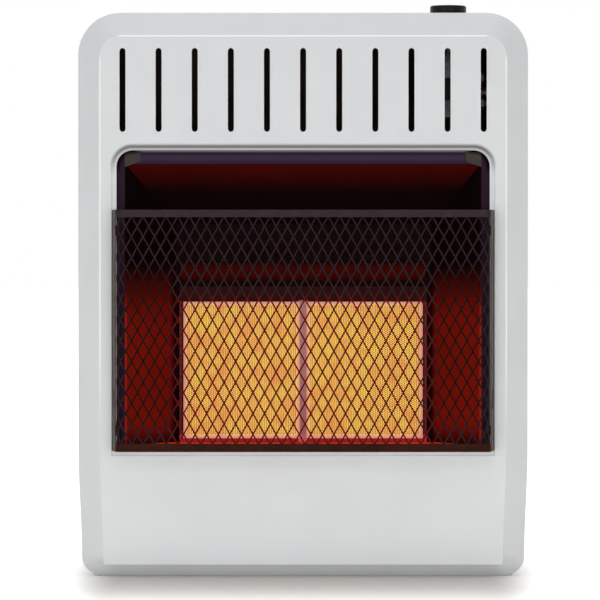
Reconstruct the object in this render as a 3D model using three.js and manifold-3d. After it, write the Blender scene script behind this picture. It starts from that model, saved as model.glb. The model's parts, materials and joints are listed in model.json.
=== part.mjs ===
// Ventless infrared gas heater: a small steel cabinet with a pressed front panel, a splayed firebox,
// a burner with two perforated ceramic plaques, a gas train with a thermostat valve, and a metal guard.
// All lengths are millimetres. X runs to the right as seen from the front, Y from front to back, and Z up.
// The origin is on the floor, at the middle of the heater's width and depth.
import * as THREE from "three";
import { mergeVertices, mergeGeometries } from "three/addons/utils/BufferGeometryUtils.js";
import Module from "manifold-3d";

const wasm = await Module();
wasm.setup();

// Sheets and fits
const sheet = 1; // thickness of the pressed steel sheet
const strap = 1.5; // thickness of the brackets
const gap = 0.3; // clearance between pieces that touch
const overrun = 4; // how far a cut reaches past its piece
const weld = 0.001; // corners closer than this are one corner
const hem = 12; // width of the turned edges on the cabinet's panels

// Cabinet behind the front panel
const cabinet = { width: 380, height: 494, depth: 168, frontEdge: 28.3 };

// Pressed front panel, which stands out past the cabinet's sides and top
const overhang = { side: 13, top: 14.4 };
const fascia = {
  width: cabinet.width + 2 * overhang.side,
  height: cabinet.height + overhang.top,
  cornerRadius: 38,
  bevelWidth: 20,
  headBevel: 21.5,
  footBevel: 11,
  bevelDepth: 14,
  returnDepth: 14,
};
const ventSlot = { width: 5.4, length: 75.6, count: 11, sideMargin: 40.5, topMargin: 32.3 };
const ventPitch = (fascia.width - 2 * ventSlot.sideMargin) / (ventSlot.count - 1);
const ventBottom = fascia.height - ventSlot.topMargin - ventSlot.length;
const margin = { side: 35, head: 16.5 }; // plain sheet beside the opening, and between it and the vent slots
const openingBottomShare = 0.22325; // level of the opening's lower edge, of the front panel's height
const opening = {
  width: fascia.width - 2 * margin.side,
  bottom: openingBottomShare * fascia.height,
  top: ventBottom - margin.head,
  cornerRadius: 14.5,
  rimWidth: 4.6,
  rimDepth: 2,
};

// Guard in front of the opening
const guardFit = { side: 0.4, lap: 4.1, head: 53.7 };
const guard = {
  reach: 26,
  top: opening.top - guardFit.head,
  frontWidth: opening.width - 2 * guardFit.side,
  rearWidth: opening.width + 2 * guardFit.lap,
  cornerRadius: 6,
  topRail: 6.6,
  bottomRail: 7.5,
  lip: 6,
  stripDepth: 20.7,
  netThickness: 1.2,
  netStrand: 1.2,
  netLeg: 3,
  netColumns: 16,
  netRows: 6,
};

// Levels from front to back
const backY = (cabinet.depth + guard.reach) / 2;
const faceY = backY - cabinet.depth;
const guardFrontY = faceY - guard.reach;
const bevelRearY = faceY + fascia.bevelDepth;
const fasciaRearY = bevelRearY + fascia.returnDepth;
const rimFrontY = faceY + opening.rimDepth;
const rimBackY = rimFrontY + sheet;
const bodyFrontY = faceY + cabinet.frontEdge;

// Firebox
const fireboxFit = { lip: 8.5, splay: 42.5, floorRise: 4.5, hoodDrop: 12, hoodFall: 53.7, rearSpace: 97.6 };
const mouthWidth = opening.width - 2 * fireboxFit.lip;
const hoodFront = opening.top - fireboxFit.hoodDrop;
const firebox = {
  mouthWidth,
  backWidth: mouthWidth - 2 * fireboxFit.splay,
  depth: cabinet.depth - fireboxFit.rearSpace,
  floorTop: opening.bottom + fireboxFit.floorRise,
  hoodFront,
  hoodBack: hoodFront - fireboxFit.hoodFall,
  sideFlange: 18.5,
  headFlange: 14,
  backFlange: 12,
  floorFlange: 18,
};
const mouthY = rimBackY + gap + sheet + gap;
const wallY = mouthY + firebox.depth;
const hoodSlope = Math.atan2(firebox.hoodFront - firebox.hoodBack, firebox.depth);

// Burner
const burner = {
  standOff: 9.3,
  sideGap: 3.8,
  sideStrip: 3.7,
  topStrip: 14,
  bottomStrip: 3.5,
  centreBar: 6,
  floorGap: 4,
  headroom: 57.3,
  gasket: 1.5,
};
const plaqueBottom = firebox.floorTop + burner.floorGap;
const plaque = {
  windowWidth: firebox.backWidth / 2 - burner.sideGap - burner.sideStrip - burner.centreBar / 2,
  windowHeight: firebox.hoodBack - burner.headroom - burner.topStrip - plaqueBottom,
  thickness: 12,
  bottom: plaqueBottom,
};
const frameFrontY = wallY - burner.standOff;
const plaqueFrontY = frameFrontY + sheet + gap;
const gasketY = plaqueFrontY + plaque.thickness + gap;
const plenumY = gasketY + burner.gasket + gap;
const windowHalfWidth = burner.centreBar / 2 + plaque.windowWidth;
const frameHalfWidth = windowHalfWidth + burner.sideStrip;
const frameBottom = plaque.bottom - burner.bottomStrip;
const plaqueTop = plaque.bottom + plaque.windowHeight;
const frameTop = plaqueTop + burner.topStrip;
const plaqueEdge = 2.4; // how far a plaque runs on behind the frame
const plenum = { flange: 4, inset: 3, depth: 42 };

// Control knob and gas valve
const knobPlace = { fromSide: 57.5, fromFace: 63 };
const knob = {
  x: cabinet.width / 2 - knobPlace.fromSide,
  y: faceY + knobPlace.fromFace,
  height: 18.7,
  radius: 16.8,
  travel: 5,
  hubRadius: 7,
  wall: 1.8,
};
const knobBottom = cabinet.height + gap + knob.travel;
const valveFit = { headroom: 32, height: 47, stemSeat: 2, stemGrip: 8.7 };
const valve = {
  width: 52,
  depth: 50,
  bottom: cabinet.height - valveFit.headroom - valveFit.height,
  top: cabinet.height - valveFit.headroom,
  neckRadius: 9,
  neckHeight: 10,
  portRadius: 6,
  portReach: 6,
};
const stem = { radius: 3, bottom: valve.top + valveFit.stemSeat, top: knobBottom + valveFit.stemGrip };

// Finishes
function finish(color, roughness, metalness) {
  return new THREE.MeshStandardMaterial({ color, roughness, metalness });
}

const whitePaint = finish(0xd9d8d6, 0.45, 0.1);
const blackEnamel = finish(0x2a2426, 0.4, 0.2);
const reflectorSteel = finish(0x6e5a58, 0.35, 0.7);
const ceramic = finish(0xe9a56a, 0.9, 0);
const plainSteel = finish(0x9a9a98, 0.4, 0.8);
const castAluminium = finish(0xb4b6b8, 0.5, 0.8);
const brass = finish(0xb08d4a, 0.35, 0.9);
const copper = finish(0xb06a45, 0.35, 0.9);
const blackPlastic = finish(0x1c1b1d, 0.5, 0);
const fibre = finish(0xd8d2c4, 0.95, 0);
const porcelain = finish(0xeeeae0, 0.3, 0);
const greyPaint = finish(0x5c5157, 0.45, 0.3);
const cableRubber = finish(0x8c2f28, 0.6, 0);

// Prisms: an outline on one plane, drawn out along the axis that is square to it
const axisX = new THREE.Vector3(1, 0, 0);
const axisY = new THREE.Vector3(0, 1, 0);
const axisZ = new THREE.Vector3(0, 0, 1);

function prism(outline, length, across, up, along) {
  const shape = new THREE.Shape(outline.map(([u, v]) => new THREE.Vector2(u, v)));
  const geometry = new THREE.ExtrudeGeometry(shape, { depth: length, bevelEnabled: false });
  return geometry.applyMatrix4(new THREE.Matrix4().makeBasis(across, up, along));
}

const prismX = (outline, from, to) => prism(outline, to - from, axisY, axisZ, axisX).translate(from, 0, 0);
const prismY = (outline, from, to) =>
  prism(outline, to - from, axisX, axisZ, axisY.clone().negate()).translate(0, to, 0);
const prismZ = (outline, from, to) => prism(outline, to - from, axisX, axisY, axisZ).translate(0, 0, from);

function block([x0, x1], [y0, y1], [z0, z1]) {
  const geometry = new THREE.BoxGeometry(x1 - x0, y1 - y0, z1 - z0);
  return geometry.translate((x0 + x1) / 2, (y0 + y1) / 2, (z0 + z1) / 2);
}

// A round bar between two points
function bar(from, to, radius, sides = 16) {
  const start = new THREE.Vector3(...from);
  const run = new THREE.Vector3(...to).sub(start);
  const geometry = new THREE.CylinderGeometry(radius, radius, run.length(), sides);
  const turn = new THREE.Quaternion().setFromUnitVectors(axisY, run.clone().normalize());
  return geometry.applyQuaternion(turn).translate(...start.addScaledVector(run, 1 / 2).toArray());
}

// A turned piece: its profile lists radius and height, and it stands on a point along the given axis
function turned(profile, at, along = axisZ, sides = 24) {
  const points = profile.map(([radius, height]) => new THREE.Vector2(radius, height));
  const geometry = new THREE.LatheGeometry(points, sides);
  const turn = new THREE.Quaternion().setFromUnitVectors(axisY, along);
  return geometry.applyQuaternion(turn).translate(...at);
}

// Points along an arc, with separate radii across and up
function arc(cx, cy, across, up, fromTurn, toTurn, steps) {
  return Array.from({ length: steps + 1 }, (_, i) => {
    const turn = (fromTurn + ((toTurn - fromTurn) * i) / steps) * 2 * Math.PI;
    return [cx + across * Math.cos(turn), cy + up * Math.sin(turn)];
  });
}

// A rectangle with one radius at its top corners and a fan of its own width and height at its bottom corners
function panelOutline(halfWidth, bottom, top, topRadius, footAcross, footUp, steps = 9) {
  return [
    ...arc(-halfWidth + footAcross, bottom + footUp, footAcross, footUp, 1 / 2, 3 / 4, steps),
    ...arc(halfWidth - footAcross, bottom + footUp, footAcross, footUp, 3 / 4, 1, steps),
    ...arc(halfWidth - topRadius, top - topRadius, topRadius, topRadius, 0, 1 / 4, steps),
    ...arc(-halfWidth + topRadius, top - topRadius, topRadius, topRadius, 1 / 4, 1 / 2, steps),
  ];
}

// A slot with round ends, upright or lying
function slotOutline(cx, cy, width, length, steps = 4) {
  const reach = (length - width) / 2;
  return [
    ...arc(cx, cy + reach, width / 2, width / 2, 0, 1 / 2, steps),
    ...arc(cx, cy - reach, width / 2, width / 2, 1 / 2, 1, steps),
  ];
}

const rectangle = (x0, x1, y0, y1) => [[x0, y0], [x1, y0], [x1, y1], [x0, y1]];

// The outline of a folded sheet: a line of corners, and the same line moved to its left by the thickness
function foldedSheet(corners, thickness) {
  const normals = corners.slice(1).map(([x, y], i) => {
    const run = new THREE.Vector2(x - corners[i][0], y - corners[i][1]).normalize();
    return new THREE.Vector2(-run.y, run.x);
  });
  const moved = corners.map(([x, y], i) => {
    const before = normals[Math.max(i - 1, 0)];
    const after = normals[Math.min(i, normals.length - 1)];
    const shift = before.clone().add(after).multiplyScalar(thickness / (1 + before.dot(after)));
    return [x + shift.x, y + shift.y];
  });
  return [...corners, ...moved.reverse()];
}

// A closed skin through outlines that have as many points each, from the front one to the rear one
function loftY(stations) {
  const count = stations[0].outline.length;
  const positions = stations.flatMap(({ outline, y }) => outline.flatMap(([x, z]) => [x, y, z]));
  const index = [];
  for (let ring = 0; ring < stations.length - 1; ring += 1) {
    for (let i = 0; i < count; i += 1) {
      const near = ring * count + i;
      const nearNext = ring * count + ((i + 1) % count);
      index.push(near, near + count, nearNext + count);
      index.push(near, nearNext + count, nearNext);
    }
  }
  const flat = (outline) => outline.map(([x, z]) => new THREE.Vector2(x, z));
  const cap = (outline) => THREE.ShapeUtils.triangulateShape(flat(outline), []);
  const last = (stations.length - 1) * count;
  cap(stations[0].outline).forEach(([a, b, c]) => index.push(a, b, c));
  cap(stations.at(-1).outline).forEach(([a, b, c]) => index.push(last + a, last + c, last + b));
  const geometry = new THREE.BufferGeometry();
  geometry.setAttribute("position", new THREE.Float32BufferAttribute(positions, 3));
  return geometry.setIndex(index);
}

// A line of straight runs with rounded bends, stepped only where it turns
class BentLine extends THREE.Curve {
  constructor(corners, bendRadius, bendSteps = 3) {
    super();
    const places = corners.map((corner) => new THREE.Vector3(...corner));
    this.points = [places[0]];
    for (let i = 1; i < places.length - 1; i += 1) {
      const toward = (other) => {
        const run = other.clone().sub(places[i]);
        const reach = Math.min(bendRadius, run.length() / 2);
        return places[i].clone().addScaledVector(run.normalize(), reach);
      };
      const bend = new THREE.QuadraticBezierCurve3(toward(places[i - 1]), places[i], toward(places[i + 1]));
      this.points.push(...bend.getPoints(bendSteps));
    }
    this.points.push(places.at(-1));
  }
  getPointAt(share) {
    return this.points[Math.round(share * (this.points.length - 1))].clone();
  }
  getTangentAt(share) {
    const i = Math.round(share * (this.points.length - 1));
    const before = this.points[Math.max(i - 1, 0)];
    const after = this.points[Math.min(i + 1, this.points.length - 1)];
    return after.clone().sub(before).normalize();
  }
}

function bentTube(corners, radius, bendRadius, sides = 8) {
  const path = new BentLine(corners, bendRadius);
  const ring = Array.from({ length: sides }, (_, i) => {
    const turn = (i / sides) * 2 * Math.PI;
    return new THREE.Vector2(radius * Math.cos(turn), radius * Math.sin(turn));
  });
  const settings = { extrudePath: path, steps: path.points.length - 1, bevelEnabled: false };
  return new THREE.ExtrudeGeometry(new THREE.Shape(ring), settings);
}

// Joining and cutting
function solidOf(geometry) {
  const bare = geometry.index ? geometry.toNonIndexed() : geometry.clone();
  bare.deleteAttribute("normal");
  bare.deleteAttribute("uv");
  const merged = mergeVertices(bare, weld);
  const triVerts = [];
  const corners = merged.index.array;
  for (let i = 0; i < corners.length; i += 3) {
    const [a, b, c] = corners.slice(i, i + 3);
    if (a !== b && b !== c && c !== a) triVerts.push(a, b, c);
  }
  const vertProperties = merged.getAttribute("position").array;
  const mesh = new wasm.Mesh({ numProp: 3, vertProperties, triVerts: new Uint32Array(triVerts) });
  return new wasm.Manifold(mesh);
}

function geometryOf(solid) {
  const { vertProperties, triVerts } = solid.getMesh();
  const geometry = new THREE.BufferGeometry();
  geometry.setAttribute("position", new THREE.BufferAttribute(vertProperties, 3));
  geometry.setIndex(new THREE.BufferAttribute(triVerts, 1));
  return geometry.toNonIndexed();
}

function join(...geometries) {
  return geometryOf(geometries.map(solidOf).reduce((whole, next) => whole.add(next)));
}

function cut(geometry, ...tools) {
  return geometryOf(tools.map(solidOf).reduce((left, tool) => left.subtract(tool), solidOf(geometry)));
}

function piece(name, geometry, material) {
  const flat = geometry.index ? geometry.toNonIndexed() : geometry;
  flat.computeVertexNormals();
  const mesh = new THREE.Mesh(flat, material);
  mesh.name = name;
  return mesh;
}

// The same piece on the right, and mirrored on the left
function pair(name, geometry, material) {
  const right = piece(`right_${name}`, geometry, material);
  const left = piece(`left_${name}`, geometry, material);
  left.scale.x = -1;
  return [left, right];
}

// Cabinet
const bodyHalfWidth = cabinet.width / 2;
const innerHalfWidth = bodyHalfWidth - sheet;
const panelHalfWidth = innerHalfWidth - gap;
const hemRearY = backY - sheet - hem; // where the back panel's turned edges start
const screw = { headRadius: 4, headHeight: 2.2, shankRadius: 1.8, shankLength: 5, heightShares: [0.2, 0.8] };
const sideFlangeWidth = 10;
const screwX = bodyHalfWidth + sideFlangeWidth / 2;

function frontPanel() {
  const halfWidth = fascia.width / 2;
  const bevelTurn = Math.atan2(fascia.bevelDepth, fascia.bevelWidth);
  const faceShift = sheet * Math.tan(bevelTurn / 2);
  const returnShift = sheet * Math.tan((Math.PI / 2 - bevelTurn) / 2);
  const faceOutline = (inset) =>
    panelOutline(
      halfWidth - fascia.bevelWidth - inset,
      fascia.footBevel + inset,
      fascia.height - fascia.headBevel - inset,
      fascia.cornerRadius - fascia.bevelWidth - inset,
      0,
      0,
    );
  const outerOutline = (inset) =>
    panelOutline(
      halfWidth - inset,
      inset,
      fascia.height - inset,
      fascia.cornerRadius - inset,
      fascia.bevelWidth - inset,
      fascia.footBevel - inset,
    );
  const skin = loftY([
    { outline: faceOutline(0), y: faceY },
    { outline: outerOutline(0), y: bevelRearY },
    { outline: outerOutline(0), y: fasciaRearY },
  ]);
  const hollow = loftY([
    { outline: faceOutline(faceShift), y: faceY + sheet },
    { outline: outerOutline(sheet), y: bevelRearY + returnShift },
    { outline: outerOutline(sheet), y: fasciaRearY - sheet },
  ]);
  const bodyWay = bodyHalfWidth + gap;
  const bodyCut = block(
    [-bodyWay, bodyWay],
    [bevelRearY, fasciaRearY + overrun],
    [-overrun, cabinet.height + gap],
  );
  const rim = (grow) =>
    panelOutline(
      opening.width / 2 + grow,
      opening.bottom - grow,
      opening.top + grow,
      opening.cornerRadius + grow,
      sheet,
      sheet,
    );
  const rimBlock = prismY(rim(opening.rimWidth + sheet), faceY, rimBackY);
  const rimPocket = prismY(rim(opening.rimWidth), faceY - overrun, rimFrontY);
  const mouth = prismY(rim(0), faceY - overrun, rimBackY + overrun);
  const slots = Array.from({ length: ventSlot.count }, (_, i) => {
    const x = (i - (ventSlot.count - 1) / 2) * ventPitch;
    const outline = slotOutline(x, ventBottom + ventSlot.length / 2, ventSlot.width, ventSlot.length);
    return prismY(outline, faceY - overrun, faceY + sheet + overrun);
  });
  const screwHoles = screwPlaces().map(([x, z]) =>
    bar([x, fasciaRearY - overrun, z], [x, fasciaRearY + overrun, z], screw.shankRadius + gap, 10),
  );
  const shell = cut(skin, hollow, bodyCut);
  return cut(join(shell, rimBlock), rimPocket, mouth, ...slots, ...screwHoles);
}

function screwPlaces() {
  const levels = screw.heightShares.map((share) => share * cabinet.height);
  return [-screwX, screwX].flatMap((x) => levels.map((z) => [x, z]));
}

function sidePanel() {
  const outline = foldedSheet(
    [
      [innerHalfWidth, backY],
      [innerHalfWidth, bodyFrontY],
      [bodyHalfWidth + sideFlangeWidth, bodyFrontY],
    ],
    sheet,
  );
  const [near, far] = [bodyFrontY - overrun, bodyFrontY + overrun];
  const holes = screwPlaces()
    .filter(([x]) => x > 0)
    .map(([x, z]) => bar([x, near, z], [x, far, z], screw.shankRadius + gap, 10));
  const { footBevel, height, cornerRadius } = fascia;
  const trims = [
    [-overrun, footBevel + sheet],
    [height - cornerRadius, cabinet.height + overrun],
  ].map((span) => block([bodyHalfWidth, screwX + sideFlangeWidth], [near, far], span));
  return cut(prismZ(outline, 0, cabinet.height), ...trims, ...holes);
}

function panelScrew() {
  const { headRadius, headHeight, shankRadius, shankLength } = screw;
  const profile = [
    [0, -shankLength],
    [shankRadius, -shankLength],
    [shankRadius, 0],
    [headRadius, 0],
    [headRadius, headHeight / 2],
    [headRadius / 2, headHeight],
    [0, headHeight],
  ];
  return turned(profile, [0, 0, 0], axisY, 12);
}

const louvre = { width: 5, length: 64, pitch: 26, count: 9, fromSide: 24, fromBack: 55 };
const stemHoleRadius = 8;

function topPanel() {
  const top = cabinet.height;
  const front = bodyFrontY + sheet;
  const plate = block([-panelHalfWidth, panelHalfWidth], [bodyFrontY, backY], [top - sheet, top]);
  const lipHalfWidth = fascia.width / 2 - fascia.cornerRadius;
  const lip = block(
    [-lipHalfWidth, lipHalfWidth],
    [bodyFrontY, front],
    [top - sheet, top + sideFlangeWidth],
  );
  const hemBlock = (side) =>
    block(
      [side * panelHalfWidth, side * (panelHalfWidth - sheet)].sort((a, b) => a - b),
      [bodyFrontY, hemRearY - gap],
      [top - hem, top],
    );
  const slots = Array.from({ length: louvre.count }, (_, i) =>
    prismZ(
      slotOutline(
        louvre.fromSide - bodyHalfWidth + i * louvre.pitch,
        backY - louvre.fromBack,
        louvre.width,
        louvre.length,
      ),
      top - sheet - overrun,
      top + overrun,
    ),
  );
  const stemHole = bar(
    [knob.x, knob.y, top - overrun],
    [knob.x, knob.y, top + overrun],
    stemHoleRadius,
  );
  return cut(join(plate, lip, hemBlock(-1), hemBlock(1)), stemHole, ...slots);
}

const airSlot = { width: 8, length: 90, pitch: 34, count: 7, fromBack: 77 };

function bottomPanel() {
  const front = bevelRearY + gap;
  const plate = block([-panelHalfWidth, panelHalfWidth], [front, backY], [0, sheet]);
  const lip = block([-panelHalfWidth, panelHalfWidth], [front, front + sheet], [0, hem]);
  const hemBlock = (side) =>
    block(
      [side * panelHalfWidth, side * (panelHalfWidth - sheet)].sort((a, b) => a - b),
      [front, hemRearY - gap],
      [0, hem],
    );
  const slots = Array.from({ length: airSlot.count }, (_, i) => {
    const x = (i - (airSlot.count - 1) / 2) * airSlot.pitch;
    const outline = slotOutline(x, backY - airSlot.fromBack, airSlot.width, airSlot.length);
    return prismZ(outline, -overrun, sheet + overrun);
  });
  return cut(join(plate, lip, hemBlock(-1), hemBlock(1)), ...slots);
}

const keyholePlace = { fromSide: 70, fromTop: 54 };
const keyhole = {
  x: bodyHalfWidth - keyholePlace.fromSide,
  z: cabinet.height - keyholePlace.fromTop,
  headRadius: 6,
  neckWidth: 5,
  neckLength: 14,
};
const inletFromSide = 50;
const inlet = {
  x: bodyHalfWidth - inletFromSide,
  z: 70,
  radius: 12.7,
  collarRadius: 17,
  collarDepth: 8,
  boreRadius: 8.2,
  boreDepth: 14,
};
const backSlot = { width: 5, length: 60, pitch: 30, count: 8, z: 60, fromSide: 24 };
const regulatorSize = {
  width: 34,
  height: 34,
  depth: 28,
  fromBack: 17,
  capRadius: 20,
  capDepth: 9,
  portReach: 8,
  portRadius: 7,
};
const regulatorTop = inlet.z + regulatorSize.height / 2 + regulatorSize.portReach;

function backPanel() {
  const [low, high] = [sheet + gap, cabinet.height - sheet - gap];
  const tray = block([-panelHalfWidth, panelHalfWidth], [hemRearY, backY], [low, high]);
  const hollow = block(
    [sheet - panelHalfWidth, panelHalfWidth - sheet],
    [hemRearY - overrun, backY - sheet],
    [low + sheet, high - sheet],
  );
  const [near, far] = [backY - sheet - overrun, backY + overrun];
  const neckZ = keyhole.z + keyhole.neckLength / 2;
  const keyholes = [-keyhole.x, keyhole.x].flatMap((x) => [
    bar([x, near, keyhole.z], [x, far, keyhole.z], keyhole.headRadius),
    prismY(slotOutline(x, neckZ, keyhole.neckWidth, keyhole.neckLength), near, far),
  ]);
  const inletHole = bar([inlet.x, near, inlet.z], [inlet.x, far, inlet.z], inlet.radius + gap, 24);
  const slots = Array.from({ length: backSlot.count }, (_, i) => {
    const x = backSlot.fromSide - bodyHalfWidth + i * backSlot.pitch;
    return prismY(slotOutline(x, backSlot.z, backSlot.width, backSlot.length), near, far);
  });
  return cut(tray, hollow, ...keyholes, inletHole, ...slots);
}

// Heat shields
const topShield = {
  clearance: 14,
  front: 10,
  notchWidth: 24.7,
  notchRim: 4,
  notchBeforeKnob: 37,
  notchFromRear: 26,
};
const topShieldZ = opening.top + topShield.clearance;
const rearShield = { fromBack: 27, overRegulator: 17 };
const rearShieldY = backY - rearShield.fromBack;

function topHeatShield() {
  const z = topShieldZ;
  const rear = rearShieldY + sheet;
  const notchEnd = panelHalfWidth - topShield.notchRim;
  const front = faceY + topShield.front;
  const outline = foldedSheet(
    [
      [panelHalfWidth, z + sheet - hem],
      [panelHalfWidth, z + sheet],
      [-panelHalfWidth, z + sheet],
      [-panelHalfWidth, z + sheet - hem],
    ],
    sheet,
  );
  const notch = block(
    [notchEnd - topShield.notchWidth, notchEnd],
    [knob.y - topShield.notchBeforeKnob, rear - topShield.notchFromRear],
    [z - overrun, z + sheet + overrun],
  );
  return cut(prismY(outline, front, rear), notch);
}

function rearHeatShield() {
  const y = rearShieldY;
  const outline = foldedSheet(
    [
      [-panelHalfWidth, y + hem],
      [-panelHalfWidth, y],
      [panelHalfWidth, y],
      [panelHalfWidth, y + hem],
    ],
    sheet,
  );
  return prismZ(outline, regulatorTop + rearShield.overRegulator, topShieldZ - hem - gap);
}

// Firebox
const mouthHalfWidth = firebox.mouthWidth / 2;
const backHalfWidth = firebox.backWidth / 2;
const flangeY = wallY - gap; // rear face of the flanges that lie on the back wall
const headTop = firebox.hoodFront + firebox.headFlange;
const hoodAt = (y) => firebox.hoodFront - (y - mouthY) * Math.tan(hoodSlope);

function fireboxSide() {
  const outline = foldedSheet(
    [
      [backHalfWidth + firebox.backFlange, flangeY],
      [backHalfWidth, flangeY],
      [mouthHalfWidth, mouthY],
      [mouthHalfWidth + firebox.sideFlange, mouthY],
    ],
    sheet,
  );
  const drop = gap / Math.cos(hoodSlope);
  const [near, far] = [mouthY - overrun, wallY + overrun];
  const overHood = prismX(
    [
      [near, hoodAt(near) - drop],
      [far, hoodAt(far) - drop],
      [far, headTop + overrun],
      [near, headTop + overrun],
    ],
    0,
    mouthHalfWidth - gap,
  );
  const backTop = firebox.hoodBack - drop;
  const overFlange = block(
    [0, backHalfWidth + firebox.backFlange + overrun],
    [wallY - burner.standOff, wallY + overrun],
    [backTop, headTop + overrun],
  );
  return cut(prismZ(outline, firebox.floorTop + gap, headTop), overHood, overFlange);
}

function fireboxHood() {
  const outline = foldedSheet(
    [
      [mouthY, headTop],
      [mouthY, firebox.hoodFront],
      [flangeY, firebox.hoodBack],
      [flangeY, firebox.hoodBack + firebox.backFlange],
    ],
    sheet,
  );
  return prismX(outline, gap + gap - mouthHalfWidth, mouthHalfWidth - gap - gap);
}

const pilotHoleFit = { fromWall: 8, depth: 20 };
const pilotHole = {
  width: 34,
  front: wallY - pilotHoleFit.fromWall - pilotHoleFit.depth,
  back: wallY - pilotHoleFit.fromWall,
};

function fireboxFloor() {
  const { floorTop, floorFlange, backFlange } = firebox;
  const outline = foldedSheet(
    [
      [flangeY, floorTop - backFlange],
      [flangeY, floorTop],
      [mouthY, floorTop],
      [mouthY, floorTop - floorFlange],
    ],
    sheet,
  );
  const halfWidth = mouthHalfWidth + firebox.sideFlange;
  const corners = [-1, 1].map((side) => {
    const near = side * (mouthHalfWidth + sheet + sheet);
    const far = side * (halfWidth + overrun);
    return block(
      [Math.min(near, far), Math.max(near, far)],
      [mouthY + sheet, wallY + overrun],
      [floorTop - backFlange - overrun, floorTop + overrun],
    );
  });
  const hole = block(
    [-pilotHole.width / 2, pilotHole.width / 2],
    [pilotHole.front, pilotHole.back],
    [floorTop - sheet - overrun, floorTop + overrun],
  );
  return cut(prismX(outline, -halfWidth, halfWidth), hole, ...corners);
}

function fireboxBack() {
  const halfWidth = backHalfWidth + firebox.backFlange;
  const wall = prismY(
    rectangle(
      -halfWidth,
      halfWidth,
      firebox.floorTop - firebox.floorFlange,
      firebox.hoodBack + firebox.backFlange + sheet,
    ),
    wallY,
    wallY + sheet,
  );
  const way = windowHalfWidth + plaqueEdge + gap;
  const window = block(
    [-way, way],
    [wallY - overrun, wallY + sheet + overrun],
    [frameBottom + sheet / 2, frameTop - sheet / 2],
  );
  return cut(wall, window);
}

const visor = { sideGap: 5, reach: 22, overBurner: 5, rise: 16, flange: 24 };
const visorBottom = frameTop + visor.overBurner;

function radiantVisor() {
  const outline = foldedSheet(
    [
      [flangeY - visor.reach, visorBottom + visor.rise],
      [flangeY, visorBottom],
      [flangeY, visorBottom + visor.flange],
    ],
    sheet,
  );
  return prismX(outline, visor.sideGap - backHalfWidth, backHalfWidth - visor.sideGap);
}

const gusset = { inset: 7.3, width: 14.5, topInset: 1.5, innerHeight: 8.5, outerHeight: 13.5 };

function cornerGusset() {
  const outer = opening.width / 2 - gusset.inset;
  const inner = outer - gusset.width;
  const top = opening.top - gusset.topInset;
  const outline = [
    [inner, top - gusset.innerHeight],
    [outer, top - gusset.outerHeight],
    [outer, top],
    [inner, top],
  ];
  return prismY(outline, mouthY - gap - sheet, mouthY - gap);
}

const support = { inset: 39.5, foot: 15, setBack: 12.4, depth: 18 };

function fireboxSupport() {
  const { inset, foot, setBack, depth } = support;
  const x = mouthHalfWidth - inset;
  const front = mouthY + setBack;
  const low = sheet + gap;
  const high = firebox.floorTop - sheet - gap;
  const outline = foldedSheet(
    [
      [x + foot, high],
      [x, high],
      [x, low],
      [x + foot, low],
    ],
    strap,
  );
  return prismY(outline, front, front + depth);
}

// Burner
function burnerFrame() {
  const rear = wallY - gap;
  const pan = block([-frameHalfWidth, frameHalfWidth], [frameFrontY, rear], [frameBottom, frameTop]);
  const inside = frameHalfWidth - sheet;
  const hollow = block(
    [-inside, inside],
    [frameFrontY + sheet, rear + overrun],
    [frameBottom + sheet, frameTop - sheet],
  );
  const windows = [-1, 1].map((side) => {
    const near = (side * burner.centreBar) / 2;
    const far = side * windowHalfWidth;
    return block(
      [Math.min(near, far), Math.max(near, far)],
      [frameFrontY - overrun, frameFrontY + sheet + overrun],
      [plaque.bottom, plaqueTop],
    );
  });
  return cut(pan, hollow, ...windows);
}

function ceramicPlaque() {
  return block(
    [gap, windowHalfWidth + plaqueEdge],
    [plaqueFrontY, plaqueFrontY + plaque.thickness],
    [plaque.bottom - plaqueEdge + gap, plaqueTop + plaqueEdge],
  );
}

function burnerGasket() {
  const [low, high] = [plaque.bottom - plaqueEdge + gap, plaqueTop + plaqueEdge];
  const outer = windowHalfWidth + plaqueEdge;
  const slab = block([-outer, outer], [gasketY, gasketY + burner.gasket], [low, high]);
  const windows = [-1, 1].map((side) => {
    const near = side * burner.centreBar;
    const far = side * (windowHalfWidth - plaqueEdge);
    return block(
      [Math.min(near, far), Math.max(near, far)],
      [gasketY - overrun, gasketY + burner.gasket + overrun],
      [plaque.bottom + plaqueEdge, plaqueTop - plaqueEdge],
    );
  });
  return cut(slab, ...windows);
}

const plenumHalfWidth = windowHalfWidth - plenum.inset + plaqueEdge;
const plenumBottom = plaque.bottom + sheet;
const plenumTop = plaqueTop - sheet;
const mixerPlace = { setBack: 27.9, rise: 29 };
const mixer = {
  y: plenumY + mixerPlace.setBack,
  z: plenumBottom + mixerPlace.rise,
  radius: 12,
  wall: 1.2,
  inside: 9,
  length: 49,
  bellRadius: 17,
  bellLength: 8,
};

function burnerPlenum() {
  const { flange, depth } = plenum;
  const rear = plenumY + depth;
  const box = block([-plenumHalfWidth, plenumHalfWidth], [plenumY, rear], [plenumBottom, plenumTop]);
  const rimPlate = block(
    [-plenumHalfWidth - flange, plenumHalfWidth + flange],
    [plenumY, plenumY + sheet],
    [plenumBottom - flange, plenumTop + flange],
  );
  const hollow = block(
    [sheet - plenumHalfWidth, plenumHalfWidth - sheet],
    [plenumY - overrun, rear - sheet],
    [plenumBottom + sheet, plenumTop - sheet],
  );
  const mixerHole = bar(
    [plenumHalfWidth - overrun, mixer.y, mixer.z],
    [plenumHalfWidth + overrun, mixer.y, mixer.z],
    mixer.radius + gap,
    24,
  );
  return cut(join(box, rimPlate), hollow, mixerHole);
}

const baffle = { sideGap: 13.9, setBack: 14 };

function distributionBaffle() {
  const y = plenumY + baffle.setBack;
  return block(
    [baffle.sideGap - plenumHalfWidth, plenumHalfWidth - baffle.sideGap],
    [y, y + sheet],
    [plenumBottom + sheet + gap, plenumTop - sheet - gap],
  );
}

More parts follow.
